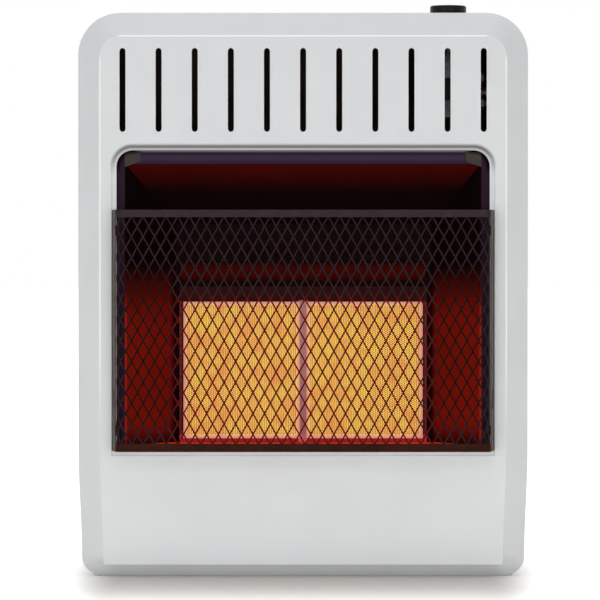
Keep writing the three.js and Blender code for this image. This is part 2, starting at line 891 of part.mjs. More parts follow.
function mixerTube() {
  const { radius, wall, inside, length, bellRadius, bellLength } = mixer;
  const throat = inside + length;
  const mouth = throat + bellLength;
  const profile = [
    [radius - wall, 0],
    [radius, 0],
    [radius, throat],
    [bellRadius, mouth],
    [bellRadius - wall, mouth],
    [radius - wall, throat + wall],
    [radius - wall, 0],
  ];
  return turned(profile, [plenumHalfWidth - inside, mixer.y, mixer.z], axisX, 20);
}

const clamp = { rise: 47, height: 30, foot: 12, reach: 4 };

function burnerClamp() {
  const rear = plenumY + sheet + gap;
  const flangeEdge = plenumHalfWidth + plenum.flange + gap + strap;
  const near = wallY + sheet + gap;
  const outline = foldedSheet(
    [
      [flangeEdge + clamp.foot, near + strap],
      [flangeEdge, near + strap],
      [flangeEdge, rear + strap],
      [flangeEdge - strap - clamp.reach, rear + strap],
    ],
    strap,
  );
  const low = plenumBottom + clamp.rise;
  return prismZ(outline, low, low + clamp.height);
}

const frameClip = { inset: 49.5, width: 8, rise: 4, height: 6, thickness: 2 };

function burnerFrameClip() {
  const y = frameFrontY - gap;
  const left = frameClip.inset - windowHalfWidth;
  const low = plaqueTop + frameClip.rise;
  return block(
    [left, left + frameClip.width],
    [y - frameClip.thickness, y],
    [low, low + frameClip.height],
  );
}

const injectorPlate = { fromSide: 16.7, beforeMixer: 18, behindMixer: 14, foot: 16, height: 36 };
const injectorPlateX = panelHalfWidth - injectorPlate.fromSide;
const injectorSize = {
  jetRadius: 2.5,
  bodyRadius: 5,
  jetLength: 7,
  nutRadius: 8,
  nutLength: 14,
  portRadius: 5,
  portReach: 10,
};

function injectorBracket() {
  const { beforeMixer, behindMixer, foot, height } = injectorPlate;
  const x = injectorPlateX;
  const back = mixer.y + behindMixer;
  const outline = foldedSheet(
    [
      [x, mixer.y - beforeMixer],
      [x, back],
      [panelHalfWidth, back],
      [panelHalfWidth, back + foot],
    ],
    strap,
  );
  const plate = prismZ(outline, mixer.z - height / 2, mixer.z + height / 2);
  const hole = bar(
    [x - strap - overrun, mixer.y, mixer.z],
    [x + overrun, mixer.y, mixer.z],
    injectorSize.bodyRadius + gap,
  );
  return cut(plate, hole);
}

const injectorNutX = injectorPlateX + gap;
const injectorPortX = injectorNutX + injectorSize.nutLength / 2;

function injector() {
  const { jetRadius, bodyRadius, jetLength, nutRadius, nutLength, portRadius, portReach } = injectorSize;
  const neck = strap + gap + gap;
  const profile = [
    [0, 0],
    [jetRadius, 0],
    [bodyRadius, jetLength - neck],
    [bodyRadius, jetLength],
    [nutRadius, jetLength],
    [nutRadius, jetLength + nutLength],
    [0, jetLength + nutLength],
  ];
  const body = turned(profile, [injectorNutX - jetLength, mixer.y, mixer.z], axisX, 12);
  const port = bar(
    [injectorPortX, mixer.y, mixer.z],
    [injectorPortX, mixer.y, mixer.z + portReach],
    portRadius,
    12,
  );
  return join(body, port);
}

// Gas train
const valveHalfWidth = valve.width / 2;
const valveHalfDepth = valve.depth / 2;
const valveRightX = knob.x + valveHalfWidth;
const valveBackY = knob.y + valveHalfDepth;
const valveFrontY = knob.y - valveHalfDepth;
const portX = valveRightX + valve.portReach;
const portPlace = {
  outletBack: 6,
  outletRise: 23,
  pilotFront: 12,
  pilotRise: 13,
  probeFront: 5,
  probeRise: 36,
  supplyRise: 15,
  bulbInset: 18,
  bulbRise: 35,
};
const outletPort = { y: knob.y + portPlace.outletBack, z: valve.bottom + portPlace.outletRise };
const pilotPort = { y: knob.y - portPlace.pilotFront, z: valve.bottom + portPlace.pilotRise };
const probePort = { y: knob.y - portPlace.probeFront, z: valve.bottom + portPlace.probeRise };
const supplyPort = { x: inlet.x, z: valve.bottom + portPlace.supplyRise, radius: 9, reach: 8 };
const bulbPort = { x: knob.x - portPlace.bulbInset, z: valve.bottom + portPlace.bulbRise };

function gasValve() {
  const { bottom, top, neckRadius, neckHeight, portRadius } = valve;
  const body = block(
    [knob.x - valveHalfWidth, valveRightX],
    [valveFrontY, valveBackY],
    [bottom, top],
  );
  const neck = bar([knob.x, knob.y, top - overrun], [knob.x, knob.y, top + neckHeight], neckRadius, 20);
  const sidePorts = [outletPort, pilotPort, probePort].map(({ y, z }) =>
    bar([valveRightX - overrun, y, z], [portX, y, z], portRadius, 6),
  );
  const { x, z, radius, reach } = supplyPort;
  const supply = bar([x, valveBackY - overrun, z], [x, valveBackY + reach, z], radius, 12);
  const bulbNut = bar(
    [bulbPort.x, valveBackY - overrun, bulbPort.z],
    [bulbPort.x, valveBackY + reach, bulbPort.z],
    portRadius,
    6,
  );
  const whole = join(body, neck, ...sidePorts, supply, bulbNut);
  const well = bar(
    [knob.x, knob.y, stem.bottom - knob.travel - gap - sheet],
    [knob.x, knob.y, top + neckHeight + overrun],
    stem.radius + gap,
  );
  return cut(whole, well);
}

const bracketFoot = 10;

function valveBracket() {
  const low = valve.top + gap;
  const high = cabinet.height - sheet - gap;
  const half = valveHalfWidth;
  const outline = foldedSheet(
    [
      [knob.x - half - bracketFoot, high - strap],
      [knob.x - half, high - strap],
      [knob.x - half, low],
      [knob.x + half, low],
      [knob.x + half, high - strap],
      [knob.x + half + bracketFoot, high - strap],
    ],
    strap,
  );
  const hanger = prismY(outline, valveFrontY, valveBackY);
  const hole = bar(
    [knob.x, knob.y, low - overrun],
    [knob.x, knob.y, low + strap + overrun],
    valve.neckRadius + gap,
    20,
  );
  return cut(hanger, hole);
}

const piezoPlace = { inset: 8, rise: 15 };
const piezo = {
  x: knob.x - piezoPlace.inset,
  width: 20,
  depth: 14,
  bottom: valve.bottom + piezoPlace.rise,
  height: 20,
};
const piezoY = valveFrontY - gap - piezo.depth;

function piezoIgniter() {
  return block(
    [piezo.x, piezo.x + piezo.width],
    [piezoY, valveFrontY - gap],
    [piezo.bottom, piezo.bottom + piezo.height],
  );
}

const pipe = {
  outletRadius: 3.2,
  supplyRadius: 5,
  pilotRadius: 2,
  probeRadius: 1.2,
  leadRadius: 1.6,
  bulbTubeRadius: 1,
};
const bend = { supply: 16, outlet: 10, small: 8 };

function outletTube() {
  const { y, z } = outletPort;
  const bottom = mixer.z + injectorSize.portReach + gap;
  const [jogLow, jogHigh] = [bottom + bend.outlet + bend.outlet, bottom + bend.outlet * 4];
  const corners = [
    [portX + gap, y, z],
    [injectorPortX, y, z],
    [injectorPortX, y, jogHigh],
    [injectorPortX, mixer.y, jogLow],
    [injectorPortX, mixer.y, bottom],
  ];
  return bentTube(corners, pipe.outletRadius, bend.outlet, 10);
}

const supplyFromBack = 19;
const supplyY = backY - supplyFromBack;

function regulator() {
  const { width, height, depth, fromBack, capRadius, capDepth, portRadius } = regulatorSize;
  const back = backY - fromBack;
  const front = back - depth;
  const body = block(
    [inlet.x - width / 2, inlet.x + width / 2],
    [front, back],
    [inlet.z - height / 2, inlet.z + height / 2],
  );
  const cap = bar(
    [inlet.x, front - capDepth, inlet.z],
    [inlet.x, front + overrun, inlet.z],
    capRadius,
    24,
  );
  const rearFace = backY - sheet - gap - inlet.collarDepth - gap;
  const inletPort = bar(
    [inlet.x, back - overrun, inlet.z],
    [inlet.x, rearFace, inlet.z],
    inlet.radius,
    12,
  );
  const outlet = bar(
    [inlet.x, supplyY, inlet.z],
    [inlet.x, supplyY, regulatorTop],
    portRadius,
    12,
  );
  return join(body, cap, inletPort, outlet);
}

function inletFitting() {
  const { radius, collarRadius, collarDepth, boreRadius, boreDepth } = inlet;
  const collarFront = backY - sheet - gap - collarDepth;
  const length = backY - collarFront;
  const profile = [
    [0, 0],
    [collarRadius, 0],
    [collarRadius, collarDepth],
    [radius, collarDepth],
    [radius, length - gap],
    [boreRadius, length - gap],
    [boreRadius, Math.max(length - boreDepth, sheet)],
    [0, Math.max(length - boreDepth, sheet)],
  ];
  return turned(profile, [inlet.x, collarFront, inlet.z], axisY, 18);
}

function supplyTube() {
  const { x, z, reach } = supplyPort;
  const bottom = regulatorTop + gap;
  const corners = [
    [x, valveBackY + reach + gap, z],
    [x, supplyY, z],
    [x, supplyY, bottom],
  ];
  return bentTube(corners, pipe.supplyRadius, bend.supply, 10);
}

// Pilot and its leads
const pilotPlace = {
  fromWall: 17,
  rearFromWall: 6,
  shelfDrop: 23,
  burnerDrop: 30,
  burnerRise: 3,
  probeDrop: 34,
  probeRise: 5,
  insulatorDrop: 6,
  pinRise: 4,
  tubeDrop: 38,
  leadDrop: 46,
  probeLeadDrop: 54,
};
const pilot = {
  y: wallY - pilotPlace.fromWall,
  spacing: 12,
  shelf: firebox.floorTop - pilotPlace.shelfDrop,
  bracketWidth: 40,
  bracketFoot: 14,
  rear: wallY - pilotPlace.rearFromWall,
  burnerRadius: 4,
  burnerBottom: firebox.floorTop - pilotPlace.burnerDrop,
  burnerTop: firebox.floorTop + pilotPlace.burnerRise,
  probeRadius: 2,
  probeBottom: firebox.floorTop - pilotPlace.probeDrop,
  probeTop: firebox.floorTop + pilotPlace.probeRise,
  insulatorRadius: 3,
  insulatorTop: firebox.floorTop - pilotPlace.insulatorDrop,
  pinRadius: 1,
  pinTop: firebox.floorTop + pilotPlace.pinRise,
};
const shelfLevels = {
  pilot: firebox.floorTop - pilotPlace.tubeDrop,
  lead: firebox.floorTop - pilotPlace.leadDrop,
  probe: firebox.floorTop - pilotPlace.probeLeadDrop,
};

function pilotBracket() {
  const top = firebox.floorTop - sheet - gap - strap;
  const legY = pilotHole.front - strap;
  const outline = foldedSheet(
    [
      [legY - pilot.bracketFoot, top],
      [legY, top],
      [legY, pilot.shelf],
      [pilot.rear, pilot.shelf],
    ],
    strap,
  );
  const shelf = prismX(outline, -pilot.bracketWidth / 2, pilot.bracketWidth / 2);
  const holes = [
    [pilot.spacing, pilot.burnerRadius],
    [0, pilot.insulatorRadius],
    [-pilot.spacing, pilot.probeRadius],
  ].map(([x, radius]) =>
    bar([x, pilot.y, pilot.shelf - overrun], [x, pilot.y, pilot.shelf + strap + overrun], radius + gap, 12),
  );
  return cut(shelf, ...holes);
}

function pilotBurner() {
  const { burnerRadius, burnerBottom, burnerTop, shelf } = pilot;
  const profile = [
    [0, 0],
    [burnerRadius, 0],
    [burnerRadius, burnerTop - burnerBottom],
    [burnerRadius / 2, burnerTop - burnerBottom],
    [burnerRadius / 2, shelf - burnerBottom + burnerRadius],
    [0, shelf - burnerBottom + burnerRadius],
  ];
  return turned(profile, [pilot.spacing, pilot.y, burnerBottom], axisZ, 12);
}

function sparkElectrode() {
  const { insulatorRadius, insulatorTop, pinRadius, pinTop, burnerBottom } = pilot;
  const profile = [
    [0, 0],
    [insulatorRadius, 0],
    [insulatorRadius, insulatorTop - burnerBottom],
    [pinRadius, insulatorTop - burnerBottom],
    [pinRadius, pinTop - burnerBottom],
    [0, pinTop - burnerBottom],
  ];
  return turned(profile, [0, pilot.y, burnerBottom], axisZ, 12);
}

function thermocouple() {
  const { probeRadius, probeBottom, probeTop, spacing, y } = pilot;
  return bar([-spacing, y, probeBottom], [-spacing, y, probeTop], probeRadius, 12);
}

const dropRun = { pilot: 6, lead: 10, probe: 12 };
const drop = {
  pilotX: portX + dropRun.pilot,
  leadX: portX + dropRun.lead,
  leadY: valveFrontY,
  probeX: portX + dropRun.probe,
};

function pilotTube() {
  const { y, z } = pilotPort;
  const corners = [
    [portX + gap, y, z],
    [drop.pilotX, y, z],
    [drop.pilotX, y, shelfLevels.pilot],
    [pilot.spacing, pilot.y, shelfLevels.pilot],
    [pilot.spacing, pilot.y, pilot.burnerBottom - gap],
  ];
  return bentTube(corners, pipe.pilotRadius, bend.small);
}

function thermocoupleLead() {
  const { y, z } = probePort;
  const corners = [
    [portX + gap, y, z],
    [drop.probeX, y, z],
    [drop.probeX, y, shelfLevels.probe],
    [-pilot.spacing, pilot.y, shelfLevels.probe],
    [-pilot.spacing, pilot.y, pilot.probeBottom - gap],
  ];
  return bentTube(corners, pipe.probeRadius, bend.small);
}

function ignitionLead() {
  const leadZ = piezo.bottom + piezo.height / 2;
  const corners = [
    [piezo.x + piezo.width + gap, drop.leadY - valve.portReach, leadZ],
    [drop.leadX, drop.leadY, leadZ],
    [drop.leadX, drop.leadY, shelfLevels.lead],
    [0, pilot.y, shelfLevels.lead],
    [0, pilot.y, pilot.burnerBottom - gap],
  ];
  return bentTube(corners, pipe.leadRadius, bend.small);
}

// Thermostat bulb under the burner, at the rear
const bulbPlace = { inset: 82, fromBack: 21, clipRun: 30 };
const bulb = {
  x: bulbPort.x - bulbPlace.inset,
  y: backY - bulbPlace.fromBack,
  z: 20,
  length: 70,
  radius: 4,
  clipX: bulbPort.x - bulbPlace.inset + bulbPlace.clipRun,
  clipWidth: 10,
  clipHalfDepth: 7,
  clipTop: 27,
};

function sensingBulb() {
  return bar([bulb.x, bulb.y, bulb.z], [bulb.x + bulb.length, bulb.y, bulb.z], bulb.radius, 12);
}

function bulbClip() {
  const body = block(
    [bulb.clipX, bulb.clipX + bulb.clipWidth],
    [bulb.y - bulb.clipHalfDepth, bulb.y + bulb.clipHalfDepth],
    [sheet + gap, bulb.clipTop],
  );
  const hole = bar(
    [bulb.clipX - overrun, bulb.y, bulb.z],
    [bulb.clipX + bulb.clipWidth + overrun, bulb.y, bulb.z],
    bulb.radius + gap,
    12,
  );
  return cut(body, hole);
}

function capillary() {
  const corners = [
    [bulbPort.x, valveBackY + supplyPort.reach + gap, bulbPort.z],
    [bulbPort.x, bulb.y, bulbPort.z],
    [bulbPort.x, bulb.y, bulb.z],
    [bulb.x + bulb.length + gap, bulb.y, bulb.z],
  ];
  return bentTube(corners, pipe.bulbTubeRadius, bend.small);
}

// Control knob
const bezel = { innerRadius: 17.6, outerRadius: 24, thickness: 1.5 };
const dish = { rimRound: 2.2, floorDrop: 1.6, pointerWidth: 1.8, pointerStart: 6, skirtTaper: 0.5, roof: 5 };

function controlKnob() {
  const { radius, height, hubRadius, wall } = knob;
  const bore = stem.top + gap - knobBottom;
  const profile = [
    [0, bore],
    [stem.radius + gap, bore],
    [stem.radius + gap, 0],
    [hubRadius, 0],
    [hubRadius, height - dish.roof],
    [radius - wall, height - dish.roof],
    [radius - wall, 0],
    [radius - dish.skirtTaper, 0],
    [radius, height - dish.rimRound * 2],
    [radius - dish.rimRound / 4, height - dish.rimRound],
    [radius - dish.rimRound / 2, height - dish.rimRound / 3],
    [radius - dish.rimRound, height],
    [radius - dish.rimRound * 2, height - dish.floorDrop / 2],
    [0, height - dish.floorDrop],
  ];
  const body = turned(profile, [0, 0, 0], axisZ, 32);
  const pointer = block(
    [-dish.pointerWidth / 2, dish.pointerWidth / 2],
    [dish.rimRound * 2 - radius, -dish.pointerStart],
    [height - dish.floorDrop * 2, height - dish.floorDrop / 2],
  );
  return join(body, pointer);
}

function valveStem() {
  return bar([0, 0, stem.bottom - knobBottom], [0, 0, stem.top - knobBottom], stem.radius, 16);
}

const collar = { rise: 16, height: 3, radius: 6 };

function valvePlunger() {
  const inner = stem.radius + gap;
  const profile = [
    [inner, 0],
    [collar.radius, 0],
    [collar.radius, collar.height],
    [inner, collar.height],
    [inner, 0],
  ];
  return turned(profile, [knob.x, knob.y, stem.bottom + collar.rise], axisZ, 16);
}

function knobBezel() {
  const { innerRadius, outerRadius, thickness } = bezel;
  const profile = [
    [innerRadius, 0],
    [outerRadius, 0],
    [outerRadius, thickness / 2],
    [outerRadius - thickness / 2, thickness],
    [innerRadius, thickness],
    [innerRadius, 0],
  ];
  return turned(profile, [knob.x, knob.y, cabinet.height + gap], axisZ, 32);
}

// Guard
const legRun = new THREE.Vector2((guard.rearWidth - guard.frontWidth) / 2, rimFrontY - gap - guardFrontY);
const stripFrontY = rimFrontY - gap - guard.stripDepth;
const legSlope = legRun.x / legRun.y;
const guardSideAt = (y) => guard.frontWidth / 2 + (y - guardFrontY) * legSlope;

// Half of the guard's plan from its middle to its right leg, moved in by the inset, with a rounded corner
function guardLine(inset, endY) {
  const front = guardFrontY + inset;
  const radius = guard.cornerRadius - inset;
  const side = guardSideAt(front + radius) - inset;
  const half = [
    ...arc(side - radius, front + radius, radius, radius, 3 / 4, 1, 4),
    [guardSideAt(endY) - inset, endY],
  ];
  return [...half.map(([x, y]) => [-x, y]).reverse(), ...half];
}

const guardBottom = opening.bottom;
const railEndY = stripFrontY - gap;

function guardRail(wallLow, wallHigh, lipLow) {
  const wall = prismZ(foldedSheet(guardLine(0, railEndY), sheet), wallLow, wallHigh);
  const lip = prismZ(foldedSheet(guardLine(0, railEndY), guard.lip), lipLow, lipLow + sheet);
  return join(wall, lip);
}

const netY = guardFrontY + sheet + gap;
const netHalfWidth = guard.frontWidth / 2 - guard.cornerRadius;
const netWindow = { bottom: guardBottom + guard.bottomRail, top: guard.top - guard.topRail };

function guardNet() {
  const inset = sheet + gap;
  const low = guardBottom + sheet + gap;
  const high = guard.top - sheet - gap;
  const plan = foldedSheet(guardLine(inset, stripFrontY + guard.netLeg), guard.netThickness);
  const pitchX = (2 * netHalfWidth) / guard.netColumns;
  const pitchZ = (netWindow.top - netWindow.bottom) / guard.netRows;
  const lean = Math.hypot(pitchX, pitchZ);
  const halfAcross = pitchX / 2 - (guard.netStrand * lean) / (2 * pitchZ);
  const halfUp = pitchZ / 2 - (guard.netStrand * lean) / (2 * pitchX);
  const diamonds = [];
  for (let row = 0; row <= 2 * guard.netRows; row += 1) {
    for (let column = row % 2; column <= 2 * guard.netColumns; column += 2) {
      const [x, z] = [(column * pitchX) / 2 - netHalfWidth, netWindow.bottom + (row * pitchZ) / 2];
      const left = Math.max(x - halfAcross, -netHalfWidth);
      const right = Math.min(x + halfAcross, netHalfWidth);
      const lower = Math.max(z - halfUp, netWindow.bottom);
      const upper = Math.min(z + halfUp, netWindow.top);
      const corners = [[left, z], [x, lower], [right, z], [x, upper]];
      const whole = corners.filter(([u, v], i) => {
        const [pu, pv] = corners[(i + 3) % 4];
        return Math.hypot(u - pu, v - pv) > weld;
      });
      if (whole.length > 2) diamonds.push(prismY(whole, netY - overrun, netY + guard.netThickness + overrun));
    }
  }
  return cut(prismZ(plan, low, high), mergeGeometries(diamonds.map(stripped)));
}

function stripped(geometry) {
  const bare = geometry.clone();
  bare.deleteAttribute("normal");
  bare.deleteAttribute("uv");
  return bare;
}

const hook = { height: 9, reach: 4, fromEnds: 14, width: 2, root: 7 };
const hookSlot = { width: 6, height: 18, fromBottom: 20 };

function guardStrip() {
  const outline = foldedSheet(
    [
      [guardSideAt(stripFrontY), stripFrontY],
      [guardSideAt(rimFrontY - gap), rimFrontY - gap],
    ],
    sheet,
  );
  const hookInner = opening.width / 2 - gap - hook.width;
  const hookOuter = hookInner + hook.width;
  const hookRear = rimBackY + gap + sheet;
  const rootY = rimFrontY - hook.root;
  const hooks = [guardBottom + hook.fromEnds, guard.top - hook.fromEnds - hook.height].map((low) =>
    join(
      block([hookInner, hookOuter], [rootY, hookRear], [low, low + hook.height]),
      block([hookInner, guardSideAt(rootY)], [rootY, rimFrontY - gap - sheet], [low, low + hook.height]),
      block([hookInner, hookOuter + hook.reach], [rimBackY + gap, hookRear], [low, low + hook.height]),
    ),
  );
  const slotY = stripFrontY + guard.stripDepth / 3;
  const slotZ = guardBottom + hookSlot.fromBottom + hook.height + hookSlot.height;
  const slot = prismX(
    slotOutline(slotY, slotZ, hookSlot.width, hookSlot.height),
    guardSideAt(stripFrontY) - overrun,
    guardSideAt(rimFrontY) + overrun,
  );
  return cut(join(prismZ(outline, guardBottom, guard.top), ...hooks), slot);
}

// Assemblies
function assembly(...pieces) {
  const group = new THREE.Group();
  group.add(...pieces);
  return group;
}

const screws = screwPlaces().map(([x, z], i) => {
  const one = piece(`panel_screw_${i + 1}`, panelScrew(), plainSteel);
  one.position.set(x, bodyFrontY + sheet + gap, z);
  return one;
});

const cabinetGroup = assembly(
  piece("front_panel", frontPanel(), whitePaint),
  ...pair("side_panel", sidePanel(), whitePaint),
  piece("back_panel", backPanel(), plainSteel),
  piece("top_panel", topPanel(), whitePaint),
  piece("bottom_panel", bottomPanel(), plainSteel),
  ...screws,
  piece("top_heat_shield", topHeatShield(), plainSteel),
  piece("rear_heat_shield", rearHeatShield(), plainSteel),
);

const fireboxGroup = assembly(
  ...pair("firebox_side", fireboxSide(), reflectorSteel),
  piece("firebox_hood", fireboxHood(), blackEnamel),
  piece("firebox_floor", fireboxFloor(), blackEnamel),
  piece("firebox_back", fireboxBack(), blackEnamel),
  piece("radiant_visor", radiantVisor(), reflectorSteel),
  ...pair("corner_gusset", cornerGusset(), greyPaint),
  ...pair("firebox_support", fireboxSupport(), plainSteel),
);

const burnerGroup = assembly(
  piece("burner_frame", burnerFrame(), greyPaint),
  ...pair("plaque", ceramicPlaque(), ceramic),
  piece("burner_gasket", burnerGasket(), fibre),
  piece("burner_plenum", burnerPlenum(), plainSteel),
  piece("distribution_baffle", distributionBaffle(), plainSteel),
  piece("mixer_tube", mixerTube(), plainSteel),
  ...pair("burner_clamp", burnerClamp(), plainSteel),
  piece("frame_clip", burnerFrameClip(), greyPaint),
  piece("injector", injector(), brass),
  piece("injector_bracket", injectorBracket(), plainSteel),
);

const gasGroup = assembly(
  piece("gas_valve", gasValve(), castAluminium),
  piece("valve_bracket", valveBracket(), plainSteel),
  piece("piezo_igniter", piezoIgniter(), blackPlastic),
  piece("outlet_tube", outletTube(), castAluminium),
  piece("supply_tube", supplyTube(), castAluminium),
  piece("regulator", regulator(), castAluminium),
  piece("inlet_fitting", inletFitting(), brass),
);

const pilotGroup = assembly(
  piece("pilot_bracket", pilotBracket(), plainSteel),
  piece("pilot_burner", pilotBurner(), plainSteel),
  piece("spark_electrode", sparkElectrode(), porcelain),
  piece("thermocouple", thermocouple(), plainSteel),
  piece("pilot_tube", pilotTube(), castAluminium),
  piece("thermocouple_lead", thermocoupleLead(), copper),
  piece("ignition_lead", ignitionLead(), cableRubber),
);

const thermostatGroup = assembly(
  piece("sensing_bulb", sensingBulb(), copper),
  piece("bulb_clip", bulbClip(), plainSteel),
  piece("capillary", capillary(), copper),
);

const turningGroup = assembly(
  piece("control_knob", controlKnob(), blackPlastic),
  piece("valve_stem", valveStem(), plainSteel),
);
turningGroup.position.set(knob.x, knob.y, knobBottom);

const controlGroup = assembly(
  turningGroup,
  piece("valve_plunger", valvePlunger(), plainSteel),
  piece("knob_bezel", knobBezel(), blackPlastic),
);

const guardGroup = assembly(
  piece("guard_top_rail", guardRail(guard.top - guard.topRail, guard.top, guard.top - sheet), greyPaint),
  piece("guard_bottom_rail", guardRail(guardBottom, guardBottom + guard.bottomRail, guardBottom), greyPaint),
  piece("guard_net", guardNet(), greyPaint),
  ...pair("guard_strip", guardStrip(), greyPaint),
);

const heater = assembly(
  cabinetGroup,
  fireboxGroup,
  burnerGroup,
  gasGroup,
  pilotGroup,
  thermostatGroup,
  controlGroup,
  guardGroup,
);

export default heater;
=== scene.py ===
import json
import math

import bmesh
import bpy
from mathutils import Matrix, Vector


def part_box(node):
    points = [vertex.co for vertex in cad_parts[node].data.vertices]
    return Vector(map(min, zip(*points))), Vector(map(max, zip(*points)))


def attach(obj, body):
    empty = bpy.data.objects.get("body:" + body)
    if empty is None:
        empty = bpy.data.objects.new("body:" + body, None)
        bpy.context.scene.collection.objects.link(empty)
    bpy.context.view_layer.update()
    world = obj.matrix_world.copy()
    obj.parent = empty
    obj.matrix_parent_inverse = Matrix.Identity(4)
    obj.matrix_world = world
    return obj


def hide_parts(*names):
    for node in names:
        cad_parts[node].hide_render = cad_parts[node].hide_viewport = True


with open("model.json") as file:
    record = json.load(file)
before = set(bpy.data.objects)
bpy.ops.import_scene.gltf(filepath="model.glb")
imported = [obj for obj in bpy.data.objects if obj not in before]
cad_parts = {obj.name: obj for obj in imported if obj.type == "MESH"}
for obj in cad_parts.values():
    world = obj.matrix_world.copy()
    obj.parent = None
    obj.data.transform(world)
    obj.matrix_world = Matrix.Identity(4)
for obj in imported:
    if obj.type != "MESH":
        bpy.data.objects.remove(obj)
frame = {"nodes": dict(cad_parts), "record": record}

# Infrared gas heater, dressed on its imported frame. Sizes are in millimetres and turned to metres by MM.
# The lamps alone are placed in metres.
MM = 0.001
# Nearness in mm: of corners of a solid that are one, of corners and cuts of a built piece, and of levels
SAME_CORNER = 0.002
JOINED = 0.01
LEVEL = 0.1
NODES = frame["nodes"]
SLOT_OF = {part["node"]: part["material_slot"] for part in frame["record"]["subparts"]}
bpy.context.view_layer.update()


def mm(*values):
    """A point given in millimetres, in metres."""
    return Vector([value * MM for value in values])


# Camera: a long lens four metres in front of the panel, at the height of the opening
PHOTO = {"pixels": 600, "mm_per_pixel": 0.9, "centre_column": 303.1, "floor_row": 577}
EYE = {"distance": 4000, "height": 295, "sensor": 36, "clip_end": 60000}


def photo_camera():
    """The camera that took the photograph, aimed so that the panel lies where it does there."""
    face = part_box("front_panel")[0].y / MM
    half = PHOTO["pixels"] / 2
    aim_x = (half - PHOTO["centre_column"]) * PHOTO["mm_per_pixel"]
    aim_z = (PHOTO["floor_row"] - half) * PHOTO["mm_per_pixel"]
    data = bpy.data.cameras.new("photo_camera")
    data.sensor_width = EYE["sensor"]
    data.lens = EYE["sensor"] * EYE["distance"] / (PHOTO["pixels"] * PHOTO["mm_per_pixel"])
    data.clip_end = EYE["clip_end"] * MM
    camera = bpy.data.objects.new("photo_camera", data)
    bpy.context.scene.collection.objects.link(camera)
    camera.location = mm(0, face - EYE["distance"], EYE["height"])
    way = mm(aim_x, face, aim_z) - camera.location
    camera.rotation_mode = "QUATERNION"
    camera.rotation_quaternion = way.to_track_quat("-Z", "Y")
    bpy.context.scene.camera = camera


photo_camera()


# Nodes of a material or a geometry tree
def add_node(tree, kind, inputs=None, **settings):
    """Adds one node with its settings.

    An input is a value, a socket, or a node whose first output it takes.
    """
    node = tree.nodes.new(kind)
    for name, value in settings.items():
        setattr(node, name, value)
    for key, value in (inputs or {}).items():
        if isinstance(value, bpy.types.Node):
            value = value.outputs[0]
        if isinstance(value, bpy.types.NodeSocket):
            tree.links.new(value, node.inputs[key])
        else:
            node.inputs[key].default_value = value
    return node


def srgb(code):
    """A colour written as sRGB hex, in the linear values that a shader takes."""
    shares = [int(code[i : i + 2], 16) / 255 for i in (1, 3, 5)]
    linear = [c / 12.92 if c <= 0.04045 else ((c + 0.055) / 1.055) ** 2.4 for c in shares]
    return (*linear, 1)


def blended(tree, share, first, second):
    """The first colour where the share is 0, and the second where it is 1."""
    inputs = {0: share, 6: first, 7: second}
    return add_node(tree, "ShaderNodeMix", inputs, data_type="RGBA").outputs[2]


def patches(tree, size, stretch=(1, 1, 1)):
    """Soft patches of one size in mm, from 0 to 1, out of a noise that keeps mostly to its middle."""
    place = add_node(tree, "ShaderNodeTexCoord").outputs["Object"]
    laid = add_node(tree, "ShaderNodeMapping", {"Vector": place, "Scale": stretch})
    cloud = add_node(tree, "ShaderNodeTexNoise", {"Vector": laid, "Scale": 1 / (size * MM)})
    return add_node(tree, "ShaderNodeMapRange", {"Value": cloud, "From Min": 0.3, "From Max": 0.7})


# The middle of the opening's upper corner rounds. The mouth is 14.5 mm from it, and the rim's outer
# fold 19.1 mm.
ROUND = {"side": 153.5, "height": 369.5}


def reach(tree, *spans):
    """A share that rises along each named way from 0 at its first place to 1 at its second, in mm.

    The ways are side, from the middle outwards, depth, towards the wall, height, and round, which
    follows the head of the opening and its corners outwards. Several spans are multiplied.
    """
    place = add_node(tree, "ShaderNodeTexCoord").outputs["Object"]
    x, depth, height = add_node(tree, "ShaderNodeSeparateXYZ", {0: place}).outputs
    side = add_node(tree, "ShaderNodeMath", {0: x}, operation="ABSOLUTE")
    flat = add_node(tree, "ShaderNodeCombineXYZ", {0: side, 1: height})
    corner = mm(ROUND["side"], ROUND["height"], 0)
    past = add_node(tree, "ShaderNodeVectorMath", {0: flat, 1: corner}, operation="SUBTRACT")
    outer = add_node(tree, "ShaderNodeVectorMath", {0: past, 1: (0, 0, 0)}, operation="MAXIMUM")
    length = add_node(tree, "ShaderNodeVectorMath", {0: outer}, operation="LENGTH")
    ways = {"side": side, "depth": depth, "height": height, "round": length.outputs["Value"]}
    share = 1.0
    for way, start, end in spans:
        span = {"Value": ways[way], "From Min": start * MM, "From Max": end * MM}
        rise = add_node(tree, "ShaderNodeMapRange", span, interpolation_type="SMOOTHSTEP")
        share = add_node(tree, "ShaderNodeMath", {0: share, 1: rise}, operation="MULTIPLY")
    return share


COAT_ROUGHNESS = 0.1


